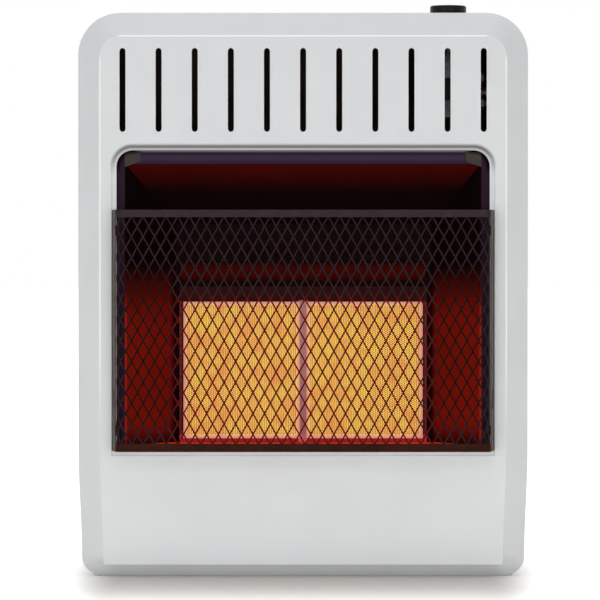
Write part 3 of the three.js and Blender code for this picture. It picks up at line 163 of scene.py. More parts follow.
def finish(name, colours, blotch, roughness, grain, metallic=0.0, specular=0.5, stretch=(1, 1, 1), coat=0.0):
    """A surface whose colour and gloss drift between two ends, over patches of one size in mm.

    grain is the size and height of its relief in mm, drawn out by stretch.
    """
    material = bpy.data.materials.new(name)
    material.use_nodes = True
    tree = material.node_tree
    shader = tree.nodes["Principled BSDF"]
    drift = patches(tree, blotch)
    tree.links.new(
        blended(tree, drift, srgb(colours[0]), srgb(colours[1])), shader.inputs["Base Color"]
    )
    size, height = grain
    pits = patches(tree, size, stretch)
    wear = add_node(tree, "ShaderNodeMath", {0: drift, 1: pits}, operation="ADD")
    gloss = {"Value": wear, "From Max": 2, "To Min": roughness[0], "To Max": roughness[1]}
    tree.links.new(
        add_node(tree, "ShaderNodeMapRange", gloss).outputs[0], shader.inputs["Roughness"]
    )
    relief = add_node(tree, "ShaderNodeBump", {"Height": pits, "Distance": height * MM})
    tree.links.new(relief.outputs[0], shader.inputs["Normal"])
    shader.inputs["Metallic"].default_value = metallic
    shader.inputs["Specular IOR Level"].default_value = specular
    shader.inputs["Coat Weight"].default_value = coat
    shader.inputs["Coat Roughness"].default_value = COAT_ROUGHNESS
    return material


def tint(material, colour, share):
    """Lays another colour over a finish, where the share is 1."""
    tree = material.node_tree
    base = tree.nodes["Principled BSDF"].inputs["Base Color"]
    under = base.links[0].from_socket
    tree.links.new(blended(tree, share, under, srgb(colour)), base)


def glow(material, far, near, share):
    """Lets a finish give light, in one colour where the share is 0 and in another where it is 1."""
    tree = material.node_tree
    shader = tree.nodes["Principled BSDF"]
    tree.links.new(blended(tree, share, far, near), shader.inputs["Emission Color"])
    shader.inputs["Emission Strength"].default_value = 1


# The share of the burner's light that the duller patches of a sheet still catch
DULL_SHARE = 0.8


def caught_light(material, far, near, blotch, *spans):
    """The red light of the burner that a firebox sheet catches, painted as a patchy glow."""
    tree = material.node_tree
    cloud = {"Value": patches(tree, blotch), "To Min": DULL_SHARE}
    uneven = add_node(tree, "ShaderNodeMapRange", cloud)
    share = add_node(tree, "ShaderNodeMath", {0: reach(tree, *spans), 1: uneven}, operation="MULTIPLY")
    glow(material, srgb(far), srgb(near), share)


def lit_edge(material, colour, *spans):
    """Paints the light that a bend catches as glow, laid over the glow that a finish already gives."""
    tree = material.node_tree
    light = tree.nodes["Principled BSDF"].inputs["Emission Color"]
    under = light.links[0].from_socket
    tree.links.new(blended(tree, reach(tree, *spans), under, srgb(colour)), light)


def corner_shadow(material):
    """Painted shadow: the dark gap between the rim's round corner and the sheet behind it."""
    tree = material.node_tree
    tint(material, "#060304", reach(tree, ("round", 10, 12.5), ("side", 143, 153), ("height", 362, 371)))


# White powder coat on pressed steel, baked: semi-gloss, with a faint orange peel 1.5 mm across
white_paint = finish(
    "white_powder_coat", ("#d5d7da", "#d1d3d6"), 60, (0.36, 0.44), (1.5, 0.01), coat=1.0
)
# The fold above the opening: painted shade, a soft grey line in the fold and a greyer recessed rim below it
tint(
    white_paint,
    "#b0adb0",
    reach(white_paint.node_tree, ("round", 18, 16.4), ("depth", -70, -69.4), ("height", 362, 386)),
)
tint(
    white_paint,
    "#5c585c",
    reach(white_paint.node_tree, ("round", 21.4, 17.8), ("round", 15.6, 17.4), ("height", 358, 388)),
)
# The folds between the face and its bevel: a painted highlight, a thin paler line where the folds catch the
# light
HEAD_FOLD_HIGHLIGHT = (("height", 486, 486.6), ("height", 488, 487.4), ("side", 169, 163))
SIDE_FOLD_HIGHLIGHTS = (("side", 182, 182.6), ("side", 184, 183.4), ("height", 472, 464), ("height", 116, 220))
for fold in (HEAD_FOLD_HIGHLIGHT, SIDE_FOLD_HIGHLIGHTS):
    tint(white_paint, "#f2f4f6", reach(white_paint.node_tree, *fold))
# Dark grey priming coat, all the coat that sheet gets where it faces the cabinet's inside: matt and dusty,
# and dark enough to stand as painted shade for the cabinet's dim inside
primer_and_shade = finish("primer_and_painted_shade_inside", ("#50463f", "#3e3630"), 30, (0.85, 0.95), (1, 0.01), specular=0.05)

# Satin heat-resistant enamel on sheet steel: near black with a purple cast, slightly rippled
black_enamel = finish(
    "satin_black_enamel", ("#2c1f2c", "#241926"), 25, (0.4, 0.5), (1.2, 0.02), specular=0.12
)
# Painted highlight along a folded edge: a paler, glossier enamel on the edge's rounding, for the thin line of
# light that the fold catches
edge_highlight_enamel = finish(
    "enamel_painted_edge_highlight", ("#8c8290", "#746c7c"), 8, (0.3, 0.4), (0.8, 0.01), 0.2, specular=0.4
)
# Firebox enamel, the same coat sooted matt and browned, with the burner's red light on it painted as glow.
# The hood's flange keeps its purple cast, with painted sheen, highlight and shade along it.
hood_enamel = finish(
    "sooted_hood_enamel", ("#0c0506", "#070303"), 25, (0.5, 0.7), (1.2, 0.02), specular=0.03
)
tint(hood_enamel, "#2c2132", reach(hood_enamel.node_tree, ("height", 371.4, 371.9)))
# Painted sheen across the flange's middle, a painted highlight just under its folded top edge and painted
# shade on the return above it
tint(hood_enamel, "#382c3e", reach(hood_enamel.node_tree, ("height", 373, 376.5), ("height", 381, 378)))
tint(hood_enamel, "#7c7080", reach(hood_enamel.node_tree, ("height", 382, 383.1)))
tint(hood_enamel, "#0a0607", reach(hood_enamel.node_tree, ("height", 383.3, 383.7)))
corner_shadow(hood_enamel)
caught_light(hood_enamel, "#060000", "#3d0201", 40, ("depth", -30, -72), ("height", 372, 371))
side_enamel = finish(
    "sooted_side_enamel", ("#080303", "#050202"), 25, (0.5, 0.7), (1.2, 0.02), specular=0.03
)
tint(side_enamel, "#291b29", reach(side_enamel.node_tree, ("side", 160.6, 161), ("depth", -66, -66.3)))
corner_shadow(side_enamel)
# The burner's red light on the side sheets, painted as glow
caught_light(
    side_enamel,
    "#040000",
    "#680a02",
    45,
    ("height", 285, 222),
    ("height", 114, 140),
    ("side", 161.2, 160.6),
    ("side", 116, 124),
)
# A painted highlight: the red light caught along the side sheets' front bends, painted as glow
SIDE_BEND = (("side", 158.4, 159.4), ("side", 160.8, 160.2), ("height", 262, 225), ("height", 114, 130))
lit_edge(side_enamel, "#84180f", *SIDE_BEND)
back_enamel = finish(
    "sooted_back_enamel", ("#080303", "#050202"), 25, (0.5, 0.7), (1.2, 0.02), specular=0.03
)
caught_light(back_enamel, "#060001", "#0c0001", 30, ("height", 331, 280))
floor_enamel = finish(
    "sooted_floor_enamel", ("#2a0c08", "#1c0806"), 20, (0.35, 0.5), (1.2, 0.02), specular=0.06
)
caught_light(floor_enamel, "#4c0803", "#ac240f", 20, ("depth", -68, -20))
# Stamped gusset: steel, dull and greyish brown, with the painted shadow of the rim's corner over it
gusset_steel = finish(
    "dull_greyish_brown_steel", ("#3c3630", "#322d28"), 10, (0.5, 0.65), (1, 0.02), 0.1, specular=0.15
)
corner_shadow(gusset_steel)
# Aluminised reflector sheet, heat-tinted and dull, with rolling marks drawn out along X, and the burner's red
# light painted on it as glow
visor_steel = finish(
    "heat_tinted_visor",
    ("#120707", "#0a0404"),
    20,
    (0.5, 0.65),
    (2, 0.01),
    0.3,
    specular=0.05,
    stretch=(0.1, 1, 1),
)
caught_light(visor_steel, "#050000", "#360401", 30, ("height", 262, 272), ("height", 284, 277))
# Burner frame and pilot pieces: aluminised steel, blackened red along the frame's top, brown at its sides and
# mauve between the plaques. The burner's light is painted on as glow between the plaques, and as a red glow
# along the frame's lower lip.
burner_steel = finish(
    "heat_tinted_burner_frame", ("#170706", "#0e0404"), 14, (0.5, 0.65), (1, 0.02), specular=0.05
)
tint(burner_steel, "#5c3428", reach(burner_steel.node_tree, ("height", 249, 246), ("side", 110, 112)))
tint(burner_steel, "#a8807c", reach(burner_steel.node_tree, ("side", 5, 3.4), ("height", 249, 247)))
caught_light(burner_steel, "#220202", "#521c1a", 20, ("side", 5, 3.4), ("height", 249, 247))
lit_edge(burner_steel, "#8a181c", ("height", 126.5, 124.5))
# Galvanised sheet: zinc spangle a few millimetres across, with soft grey patches
galvanised_steel = finish("galvanised_sheet", ("#a4a7aa", "#7e8286"), 7, (0.3, 0.5), (5, 0.01), 0.85)
# Die-cast aluminium with the skin's fine pitting
cast_aluminium = finish("die_cast_aluminium", ("#a6a8ab", "#8b8d90"), 12, (0.4, 0.6), (0.8, 0.03), 0.9)
# Drawn aluminium tube: smooth, with fine die marks drawn out along its upright runs
aluminium_tube = finish(
    "drawn_aluminium_tube", ("#c0c2c4", "#a8aaac"), 10, (0.25, 0.4), (0.6, 0.006), 0.95, stretch=(1, 1, 0.1)
)
# Turned brass: fine tool marks and a slight brown bloom
brass = finish("turned_brass", ("#b8964e", "#9c7a3a"), 9, (0.25, 0.42), (0.5, 0.006), 0.95)
# Drawn copper, darkened by handling
copper = finish("drawn_copper", ("#b26e4a", "#8e5236"), 8, (0.28, 0.45), (0.5, 0.005), 0.95)
# Moulded phenolic plastic: black, with a satin skin
black_plastic = finish(
    "moulded_black_phenolic", ("#0c0d11", "#08090c"), 15, (0.28, 0.42), (0.6, 0.008), specular=0.14
)
# Ceramic-fibre felt: off-white, loose and matt
fibre = finish("ceramic_fibre_felt", ("#e2dccc", "#cfc7b4"), 5, (0.9, 1), (0.7, 0.15), specular=0.2)
# Glazed porcelain: smooth, with a clear gloss
porcelain = finish("glazed_porcelain", ("#e8e4da", "#dcd6ca"), 10, (0.08, 0.16), (3, 0.01), coat=0.5)
# Heat-resistant silicone lead jacket
lead_rubber = finish("silicone_lead_jacket", ("#8e3128", "#7a2820"), 12, (0.5, 0.7), (0.6, 0.01))
# Black stove paint on the guard: matt, with a mauve cast
guard_paint = finish(
    "guard_stove_paint", ("#2c1f28", "#241a21"), 10, (0.42, 0.55), (0.7, 0.02), specular=0.12
)
# The same paint on the lower rail, browned by the burner's heat
browned_paint = finish(
    "heat_browned_stove_paint", ("#36130a", "#2a0f08"), 10, (0.42, 0.55), (0.7, 0.02), specular=0.05
)
# The guard's side strips: plated steel under a thin coat, paler and browner than the guard's paint
strip_paint = finish(
    "pale_strip_coat", ("#3e322b", "#342a25"), 10, (0.4, 0.55), (0.7, 0.02), 0.1, specular=0.15
)
# Stove paint on the drawn net. In front of the firebox's sides and the plaques it is painted darker and
# redder, as painted shade and the burner's red light, and in front of the plaques that light is also painted
# on as a dull red glow
net_paint = finish("net_stove_paint", ("#2f2227", "#261a1f"), 10, (0.42, 0.55), (0.7, 0.02), specular=0.07)
BEFORE_PLAQUES = (("side", 122, 108), ("height", 258, 246), ("depth", -89, -93))
BEFORE_SIDES = (("side", 116, 124), ("side", 163, 158), ("height", 290, 265), ("height", 126, 150))
tint(net_paint, "#170909", reach(net_paint.node_tree, *BEFORE_SIDES))
tint(net_paint, "#120504", reach(net_paint.node_tree, *BEFORE_PLAQUES))
caught_light(net_paint, "#060000", "#5c0500", 30, *BEFORE_PLAQUES)
# Cordierite plaque at working heat: yellow-orange where it burns, pinker where it runs cooler
ceramic = finish("glowing_cordierite", ("#744c3c", "#6a4434"), 9, (0.85, 1), (0.6, 0.03), specular=0.1)
# The walls of its holes, brown and shaded
hole_wall = finish("plaque_hole_wall", ("#1e0c05", "#160903"), 9, (0.85, 1), (0.6, 0.03), specular=0.05)
# Blotches on a plaque about 11 mm across, as the gas mix drifts over it
PLAQUE_BLOTCH = 11
PLAQUE_FIELD = (("side", 1.5, 9), ("side", 110, 103), ("height", 121, 128), ("height", 248, 240))


def plaque_glow(material, hot, warm, cool):
    """The glow of a plaque: blotchy in its field, cooler towards its margin."""
    tree = material.node_tree
    field = blended(tree, patches(tree, PLAQUE_BLOTCH), srgb(warm), srgb(hot))
    glow(material, srgb(cool), field, reach(tree, *PLAQUE_FIELD))


plaque_glow(ceramic, "#fcd05c", "#f6a456", "#be7e78")
plaque_glow(hole_wall, "#4a2000", "#401200", "#380a04")

FINISHES = {
    "white_paint": white_paint,
    "black_enamel": black_enamel,
    "reflector_steel": side_enamel,
    "ceramic": ceramic,
    "galvanised_steel": galvanised_steel,
    "cast_aluminium": cast_aluminium,
    "aluminium_tube": aluminium_tube,
    "brass": brass,
    "copper": copper,
    "black_plastic": black_plastic,
    "fibre": fibre,
    "porcelain": porcelain,
    "guard_paint": guard_paint,
    "lead_rubber": lead_rubber,
}
OWN_FINISH = {
    "firebox_hood": hood_enamel,
    "left_firebox_side": side_enamel,
    "right_firebox_side": side_enamel,
    "firebox_back": back_enamel,
    "firebox_floor": floor_enamel,
    "radiant_visor": visor_steel,
    "burner_frame": burner_steel,
    "frame_clip": burner_steel,
    "pilot_bracket": burner_steel,
    "pilot_burner": burner_steel,
    "thermocouple": burner_steel,
    "spark_electrode": burner_steel,
    "left_corner_gusset": gusset_steel,
    "right_corner_gusset": gusset_steel,
    "guard_net": net_paint,
    "guard_bottom_rail": browned_paint,
    "left_guard_strip": strip_paint,
    "right_guard_strip": strip_paint,
}
for node, thing in NODES.items():
    thing.data.materials.clear()
    thing.data.materials.append(OWN_FINISH.get(node, FINISHES[SLOT_OF[node]]))


# Meshes
def settled(thing):
    """Turns an object's evaluated shape into its plain mesh and takes its modifiers off."""
    depsgraph = bpy.context.evaluated_depsgraph_get()
    mesh = bpy.data.meshes.new_from_object(
        thing.evaluated_get(depsgraph), preserve_all_data_layers=True, depsgraph=depsgraph
    )
    thing.modifiers.clear()
    thing.data = mesh
    mesh.name = thing.name
    return thing


def placed(name, mesh):
    """An object at the origin with this mesh."""
    thing = bpy.data.objects.new(name, mesh)
    bpy.context.scene.collection.objects.link(thing)
    return thing


def dress(thing, body, slot, *nodes):
    """Lets a finished piece ride on its body and stand for its CAD nodes."""
    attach(thing, body)
    if nodes:
        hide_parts(*nodes)
    return thing


FLAT_ANGLE = math.radians(0.6)
FOLD_ANGLE = math.radians(24)


def clean_copy(node):
    """A CAD node's mesh with its corners joined and its flat triangles made into whole faces."""
    shape = bmesh.new()
    shape.from_mesh(NODES[node].data)
    bmesh.ops.remove_doubles(shape, verts=shape.verts, dist=SAME_CORNER * MM)
    bmesh.ops.dissolve_limit(shape, angle_limit=FLAT_ANGLE, verts=shape.verts, edges=shape.edges)
    shape.verts.index_update()
    mesh = bpy.data.meshes.new(node)
    mesh.from_pydata(
        [vert.co.copy() for vert in shape.verts],
        [],
        [[vert.index for vert in face.verts] for face in shape.faces],
    )
    shape.free()
    return mesh


# The front panel's sides draw in towards the floor, and its lower corners are rounder than its solid's
FOOT = {"start": 115, "end": 15, "draw": 3.2, "across": 182.9, "solid_round": 11, "round": 17}
BEVEL_REAR = -58
# From here outwards the front panel follows its sides
PANEL_SIDE = 150


def draw_in_foot(shape):
    """Draws the front panel's sides in above the floor and stretches its foot corners upwards."""
    for vert in shape.verts:
        x, y, z = vert.co / MM
        if abs(x) > FOOT["across"] and y > BEVEL_REAR and z <= FOOT["solid_round"] + LEVEL:
            vert.co.z = z * FOOT["round"] / FOOT["solid_round"] * MM
        share = min(max((FOOT["start"] - z) / (FOOT["start"] - FOOT["end"]), 0), 1)
        if abs(x) > PANEL_SIDE:
            vert.co.x -= math.copysign(FOOT["draw"] * share * share * (3 - 2 * share) * MM, x)


# Panels whose inner sides show through the slots and the louvres
LINED = ("front_panel", "back_panel", "left_side_panel", "right_side_panel", "top_panel", "bottom_panel")
CABINET_MIDDLE = mm(0, 13, 250)
INSIDE = {"front": -70.5, "rim_rear": -68.3, "flange_rear": -44.3, "sheet": 1.4}


def prime_and_shade_inside(thing):
    """Gives the faces that look into the cabinet the dark inside coat, which stands as painted shade for the
    cabinet's dim inside.
    """
    index = len(thing.data.materials)
    thing.data.materials.append(primer_and_shade)
    for face in thing.data.polygons:
        level = face.center.y / MM
        looks_in = face.normal.dot(face.center - CABINET_MIDDLE) < 0
        to_rear = face.normal.y > 0.5
        behind_rim = level > INSIDE["rim_rear"] or (level > INSIDE["front"] and to_rear)
        flange_rear = abs(level - INSIDE["flange_rear"]) < INSIDE["sheet"] and to_rear
        if looks_in and behind_rim and not flange_rear:
            face.material_index = index


def soften(node, name, radius, sections=2, radius_at=None, edge_finish=None, rows=()):
    """Replaces a CAD node by a copy with rounded sheet edges, as the press and the paint leave them.

    radius_at gives an edge its own radius, from its middle point in mm. rows are planes, each a
    point and a direction, that put a row of corners across a long face, so that its shade stays
    even up to a round corner.
    """
    thing = placed(name, clean_copy(node))
    thing.data.materials.append(NODES[node].data.materials[0])
    shape = bmesh.new()
    shape.from_mesh(thing.data)
    for point, way in rows:
        everything = [*shape.verts, *shape.edges, *shape.faces]
        bmesh.ops.bisect_plane(shape, geom=everything, dist=JOINED * MM, plane_co=point, plane_no=way)
    if rows:
        draw_in_foot(shape)
    weight = shape.edges.layers.float.new("bevel_weight_edge")
    for edge in shape.edges:
        if edge.calc_face_angle(0) > FOLD_ANGLE:
            middle = (edge.verts[0].co + edge.verts[1].co) / 2 / MM
            edge[weight] = radius_at(middle) / radius if radius_at else 1
    shape.to_mesh(thing.data)
    shape.free()
    bevel = thing.modifiers.new("edge_radius", "BEVEL")
    bevel.width = radius * MM
    bevel.segments = sections
    bevel.limit_method = "WEIGHT"
    bevel.use_clamp_overlap = True
    bevel.harden_normals = True
    if edge_finish:
        thing.data.materials.append(edge_finish)
        bevel.material = 1
    thing.data.polygons.foreach_set("use_smooth", [True] * len(thing.data.polygons))
    thing.data.set_sharp_from_angle(angle=FOLD_ANGLE)
    settled(thing)
    if node in LINED:
        prime_and_shade_inside(thing)
    return dress(thing, "heater_body", SLOT_OF[node], node)


# Front panel: wide folds round the bevel, smaller ones at the slots and at the stepped rim. The
# shortest edge beside them limits them all alike.
PANEL = {"fold": 2.0, "rim": 0.8, "rim_top": 0.6, "slot": 0.35, "back": 0.3}
FACE_EDGE = {"side": 178, "low": 20, "high": 483}
VENT_LEVEL = 395
RIM_TOP_LEVEL = 380
FLANGE_BEHIND_FACE = 20


def panel_radius(middle):
    """The fold radius of a front panel's edge, from the edge's middle in mm."""
    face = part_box("front_panel")[0].y / MM
    if abs(middle.x) < FACE_EDGE["side"] and FACE_EDGE["low"] < middle.z < FACE_EDGE["high"]:
        if middle.z > VENT_LEVEL:
            return PANEL["slot"]
        return PANEL["rim_top"] if middle.z > RIM_TOP_LEVEL else PANEL["rim"]
    return PANEL["back"] if middle.y > face + FLANGE_BEHIND_FACE else PANEL["fold"]


PANEL_ROWS = [(mm(0, 0, level), (0, 0, 1)) for level in (24, 44, 64, 84, 104, 464)]
PANEL_ROWS += [(mm(place, 0, 0), (1, 0, 0)) for place in (-174, -158, 158, 174)]
soften(
    "front_panel",
    "pressed_front_panel",
    PANEL["fold"],
    sections=4,
    radius_at=panel_radius,
    rows=PANEL_ROWS,
)

# Edge radii of the other sheet pieces
ROUNDED = {
    "left_side_panel": 0.3,
    "right_side_panel": 0.3,
    "top_panel": 0.3,
    "back_panel": 0.3,
    "bottom_panel": 0.3,
    "top_heat_shield": 0.3,
    "left_firebox_side": 0.35,
    "right_firebox_side": 0.35,
    "firebox_hood": 0.35,
    "firebox_floor": 0.35,
    "firebox_back": 0.3,
    "radiant_visor": 0.3,
    "burner_frame": 0.35,
    "frame_clip": 0.4,
    "guard_bottom_rail": 0.4,
    "left_guard_strip": 0.4,
    "right_guard_strip": 0.4,
    "left_corner_gusset": 0.25,
    "right_corner_gusset": 0.25,
}
TOP_RAIL_RADIUS = 0.8
for node, radius in ROUNDED.items():
    soften(node, node + "_sheet", radius)
# The top rail's rounded edges take the painted highlight enamel
soften("guard_top_rail", "guard_top_rail_sheet", TOP_RAIL_RADIUS, edge_finish=edge_highlight_enamel)


# Geometry trees
def new_tree(name, inputs):
    """A geometry tree with named inputs, and the sockets at its start and its end."""
    tree = bpy.data.node_groups.new(name, "GeometryNodeTree")
    for label, kind in {"Geometry": "Geometry", **inputs}.items():
        tree.interface.new_socket(label, in_out="INPUT", socket_type="NodeSocket" + kind)
    tree.interface.new_socket("Geometry", in_out="OUTPUT", socket_type="NodeSocketGeometry")
    given = add_node(tree, "NodeGroupInput").outputs
    return tree, given, add_node(tree, "NodeGroupOutput").inputs[0]


def grown(name, seed, tree, values):
    """Runs a tree on a seed mesh and keeps the result as a plain mesh."""
    thing = placed(name, seed)
    modifier = thing.modifiers.new(tree.name, "NODES")
    modifier.node_group = tree
    for item in tree.interface.items_tree:
        if item.in_out == "INPUT" and item.name in values:
            modifier[item.identifier] = values[item.name]
    return settled(thing)


# Guard net: slit and drawn steel sheet, bent round the guard's corners. Its diamonds, their
# place and the strand are in mm. The plan is the middle of the net, seen from above.
GUARD = {
    "front": -95.1,
    "half_front": 165.7,
    "half_rear": 167.2,
    "end": -87,
    "corner": 4.1,
    "low": 115.2,
    "high": 328.6,
}
NET = {"across": 10.35, "up": 18.61, "strand": 1.38, "phase": 1.72, "level": 250.28, "cells": 60}
CORNER_STEPS = 5
# The plan runs past the net's end by this much, and the trim takes it off
PLAN_SPARE = 1


def net_plan():
    """The guard net's line seen from above, with its rounded corners."""
    radius = GUARD["corner"]
    half = []
    for i in range(CORNER_STEPS + 1):
        turn = math.radians(90 * i / CORNER_STEPS)
        x = GUARD["half_front"] - radius + radius * math.sin(turn)
        half.append((x, GUARD["front"] + radius - radius * math.cos(turn)))
    half.append((GUARD["half_rear"], GUARD["end"] + PLAN_SPARE))
    points = [(-x, y) for x, y in reversed(half)] + half
    mesh = bpy.data.meshes.new("net_plan")
    lines = [(i, i + 1) for i in range(len(points) - 1)]
    mesh.from_pydata([mm(x, y, 0) for x, y in points], lines, [])
    return mesh


def net_tree():
    """Diamonds along a plan line: a turned and stretched grid, laid out flat and bent to the line."""
    sizes = {
        "Pitch Across": "Float",
        "Pitch Up": "Float",
        "Phase": "Float",
        "Level": "Float",
        "Cells": "Int",
        "Low": "Float",
        "High": "Float",
        "Finish": "Material",
    }
    tree, given, result = new_tree("drawn_net", sizes)
    line = add_node(tree, "GeometryNodeMeshToCurve", {"Mesh": given["Geometry"]})
    length = add_node(tree, "GeometryNodeCurveLength", {0: line})
    corners = add_node(tree, "ShaderNodeMath", {0: given["Cells"], 1: 1.0}, operation="ADD")
    cells = {"Size X": given["Cells"], "Size Y": given["Cells"]}
    grid = add_node(
        tree, "GeometryNodeMeshGrid", {**cells, "Vertices X": corners, "Vertices Y": corners}
    )
    turned = add_node(
        tree, "GeometryNodeTransform", {"Geometry": grid, "Rotation": (0, 0, math.pi / 4)}
    )
    place = add_node(tree, "GeometryNodeInputPosition")
    here = add_node(tree, "ShaderNodeSeparateXYZ", {0: place}).outputs
    half_cell = 1 / math.sqrt(2)
    width = {0: given["Pitch Across"], 1: half_cell}
    height = {0: given["Pitch Up"], 1: half_cell}
    across = add_node(tree, "ShaderNodeMath", width, operation="MULTIPLY")
    up = add_node(tree, "ShaderNodeMath", height, operation="MULTIPLY")
    middle = add_node(
        tree, "ShaderNodeMath", {0: length, 1: 0.5, 2: given["Phase"]}, operation="MULTIPLY_ADD"
    )
    along = add_node(
        tree, "ShaderNodeMath", {0: here[0], 1: across, 2: middle}, operation="MULTIPLY_ADD"
    )
    level = add_node(
        tree, "ShaderNodeMath", {0: here[1], 1: up, 2: given["Level"]}, operation="MULTIPLY_ADD"
    )
    flat = add_node(tree, "ShaderNodeCombineXYZ", {0: along, 2: level})
    laid = add_node(tree, "GeometryNodeSetPosition", {"Geometry": turned, "Position": flat})
    limits = [
        ("LESS_THAN", here[0], 0.0),
        ("GREATER_THAN", here[0], length),
        ("LESS_THAN", here[2], given["Low"]),
        ("GREATER_THAN", here[2], given["High"]),
    ]
    outside = False
    for operation, value, limit in limits:
        test = add_node(tree, "FunctionNodeCompare", {0: value, 1: limit}, operation=operation)
        outside = add_node(tree, "FunctionNodeBooleanMath", {0: test, 1: outside}, operation="OR")
    kept = add_node(
        tree, "GeometryNodeDeleteGeometry", {"Geometry": laid, "Selection": outside}, domain="FACE"
    )
    spot = add_node(tree, "GeometryNodeSampleCurve", {"Curves": line, "Length": here[0]}, mode="LENGTH")
    plan = add_node(tree, "ShaderNodeSeparateXYZ", {0: spot.outputs["Position"]}).outputs
    bent = add_node(tree, "ShaderNodeCombineXYZ", {0: plan[0], 1: plan[1], 2: here[2]})
    net = add_node(tree, "GeometryNodeSetPosition", {"Geometry": kept, "Position": bent})
    whole = add_node(tree, "GeometryNodeRealizeInstances", {0: net})
    painted = add_node(
        tree, "GeometryNodeSetMaterial", {"Geometry": whole, "Material": given["Finish"]}
    )
    tree.links.new(painted.outputs[0], result)
    return tree


def guard_net():
    """The drawn net, cut to the guard's frame and given its strand."""
    values = {
        "Pitch Across": NET["across"] * MM,
        "Pitch Up": NET["up"] * MM,
        "Phase": NET["phase"] * MM,
        "Level": NET["level"] * MM,
        "Cells": NET["cells"],
        "Low": (GUARD["low"] - NET["up"]) * MM,
        "High": (GUARD["high"] + NET["up"]) * MM,
        "Finish": net_paint,
    }
    net = grown("drawn_guard_net", net_plan(), net_tree(), values)
    shape = bmesh.new()
    shape.from_mesh(net.data)
    trims = [
        (mm(0, 0, GUARD["low"]), (0, 0, -1)),
        (mm(0, 0, GUARD["high"]), (0, 0, 1)),
        (mm(0, GUARD["end"], 0), (0, 1, 0)),
    ]
    for point, way in trims:
        everything = [*shape.verts, *shape.edges, *shape.faces]
        bmesh.ops.bisect_plane(
            shape, geom=everything, dist=JOINED * MM, plane_co=point, plane_no=way, clear_outer=True
        )
    shape.to_mesh(net.data)
    shape.free()
    strands = net.modifiers.new("strands", "WIREFRAME")
    strands.thickness = NET["strand"] * MM
    strands.offset = 0
    strands.use_even_offset = True
    strands.use_boundary = True
    strands.use_replace = True
    return dress(settled(net), "heater_body", "guard_paint", "guard_net")


guard_net()

# Plaques: fired cordierite tiles with staggered holes, 1.8 mm apart in a column
HOLE = {"radius": 0.6, "depth": 3, "column": 1.56, "row": 1.8, "columns": 64, "rows": 66}
HOLE_SIDES = 6
FIELD_MIDDLE = {"side": 56.25, "height": 184.5}


def plaque_cell():
    """One hole with its share of the tile's face, looking to the front."""
    half_x, half_z = HOLE["column"] / 2, HOLE["row"] / 2
    rim = [(half_x, half_z), (-half_x, half_z), (-half_x, 0)]
    rim += [(-x, -z) for x, z in rim]
    turns = [math.radians(360 / HOLE_SIDES * (i + 1)) for i in range(HOLE_SIDES)]
    edge = [(HOLE["radius"] * math.cos(turn), HOLE["radius"] * math.sin(turn)) for turn in turns]
    points = [mm(x, 0, z) for x, z in rim + edge]
    points += [mm(x, HOLE["depth"], z) for x, z in edge]
    faces = [tuple(range(3 * HOLE_SIDES - 1, 2 * HOLE_SIDES - 1, -1))]
    for i in range(HOLE_SIDES):
        after = (i + 1) % HOLE_SIDES
        for ring in (0, HOLE_SIDES):
            faces.append((i + ring, i + ring + HOLE_SIDES, after + ring + HOLE_SIDES, after + ring))
    mesh = bpy.data.meshes.new("plaque_cell")
    mesh.from_pydata(points, [], faces)
    return mesh


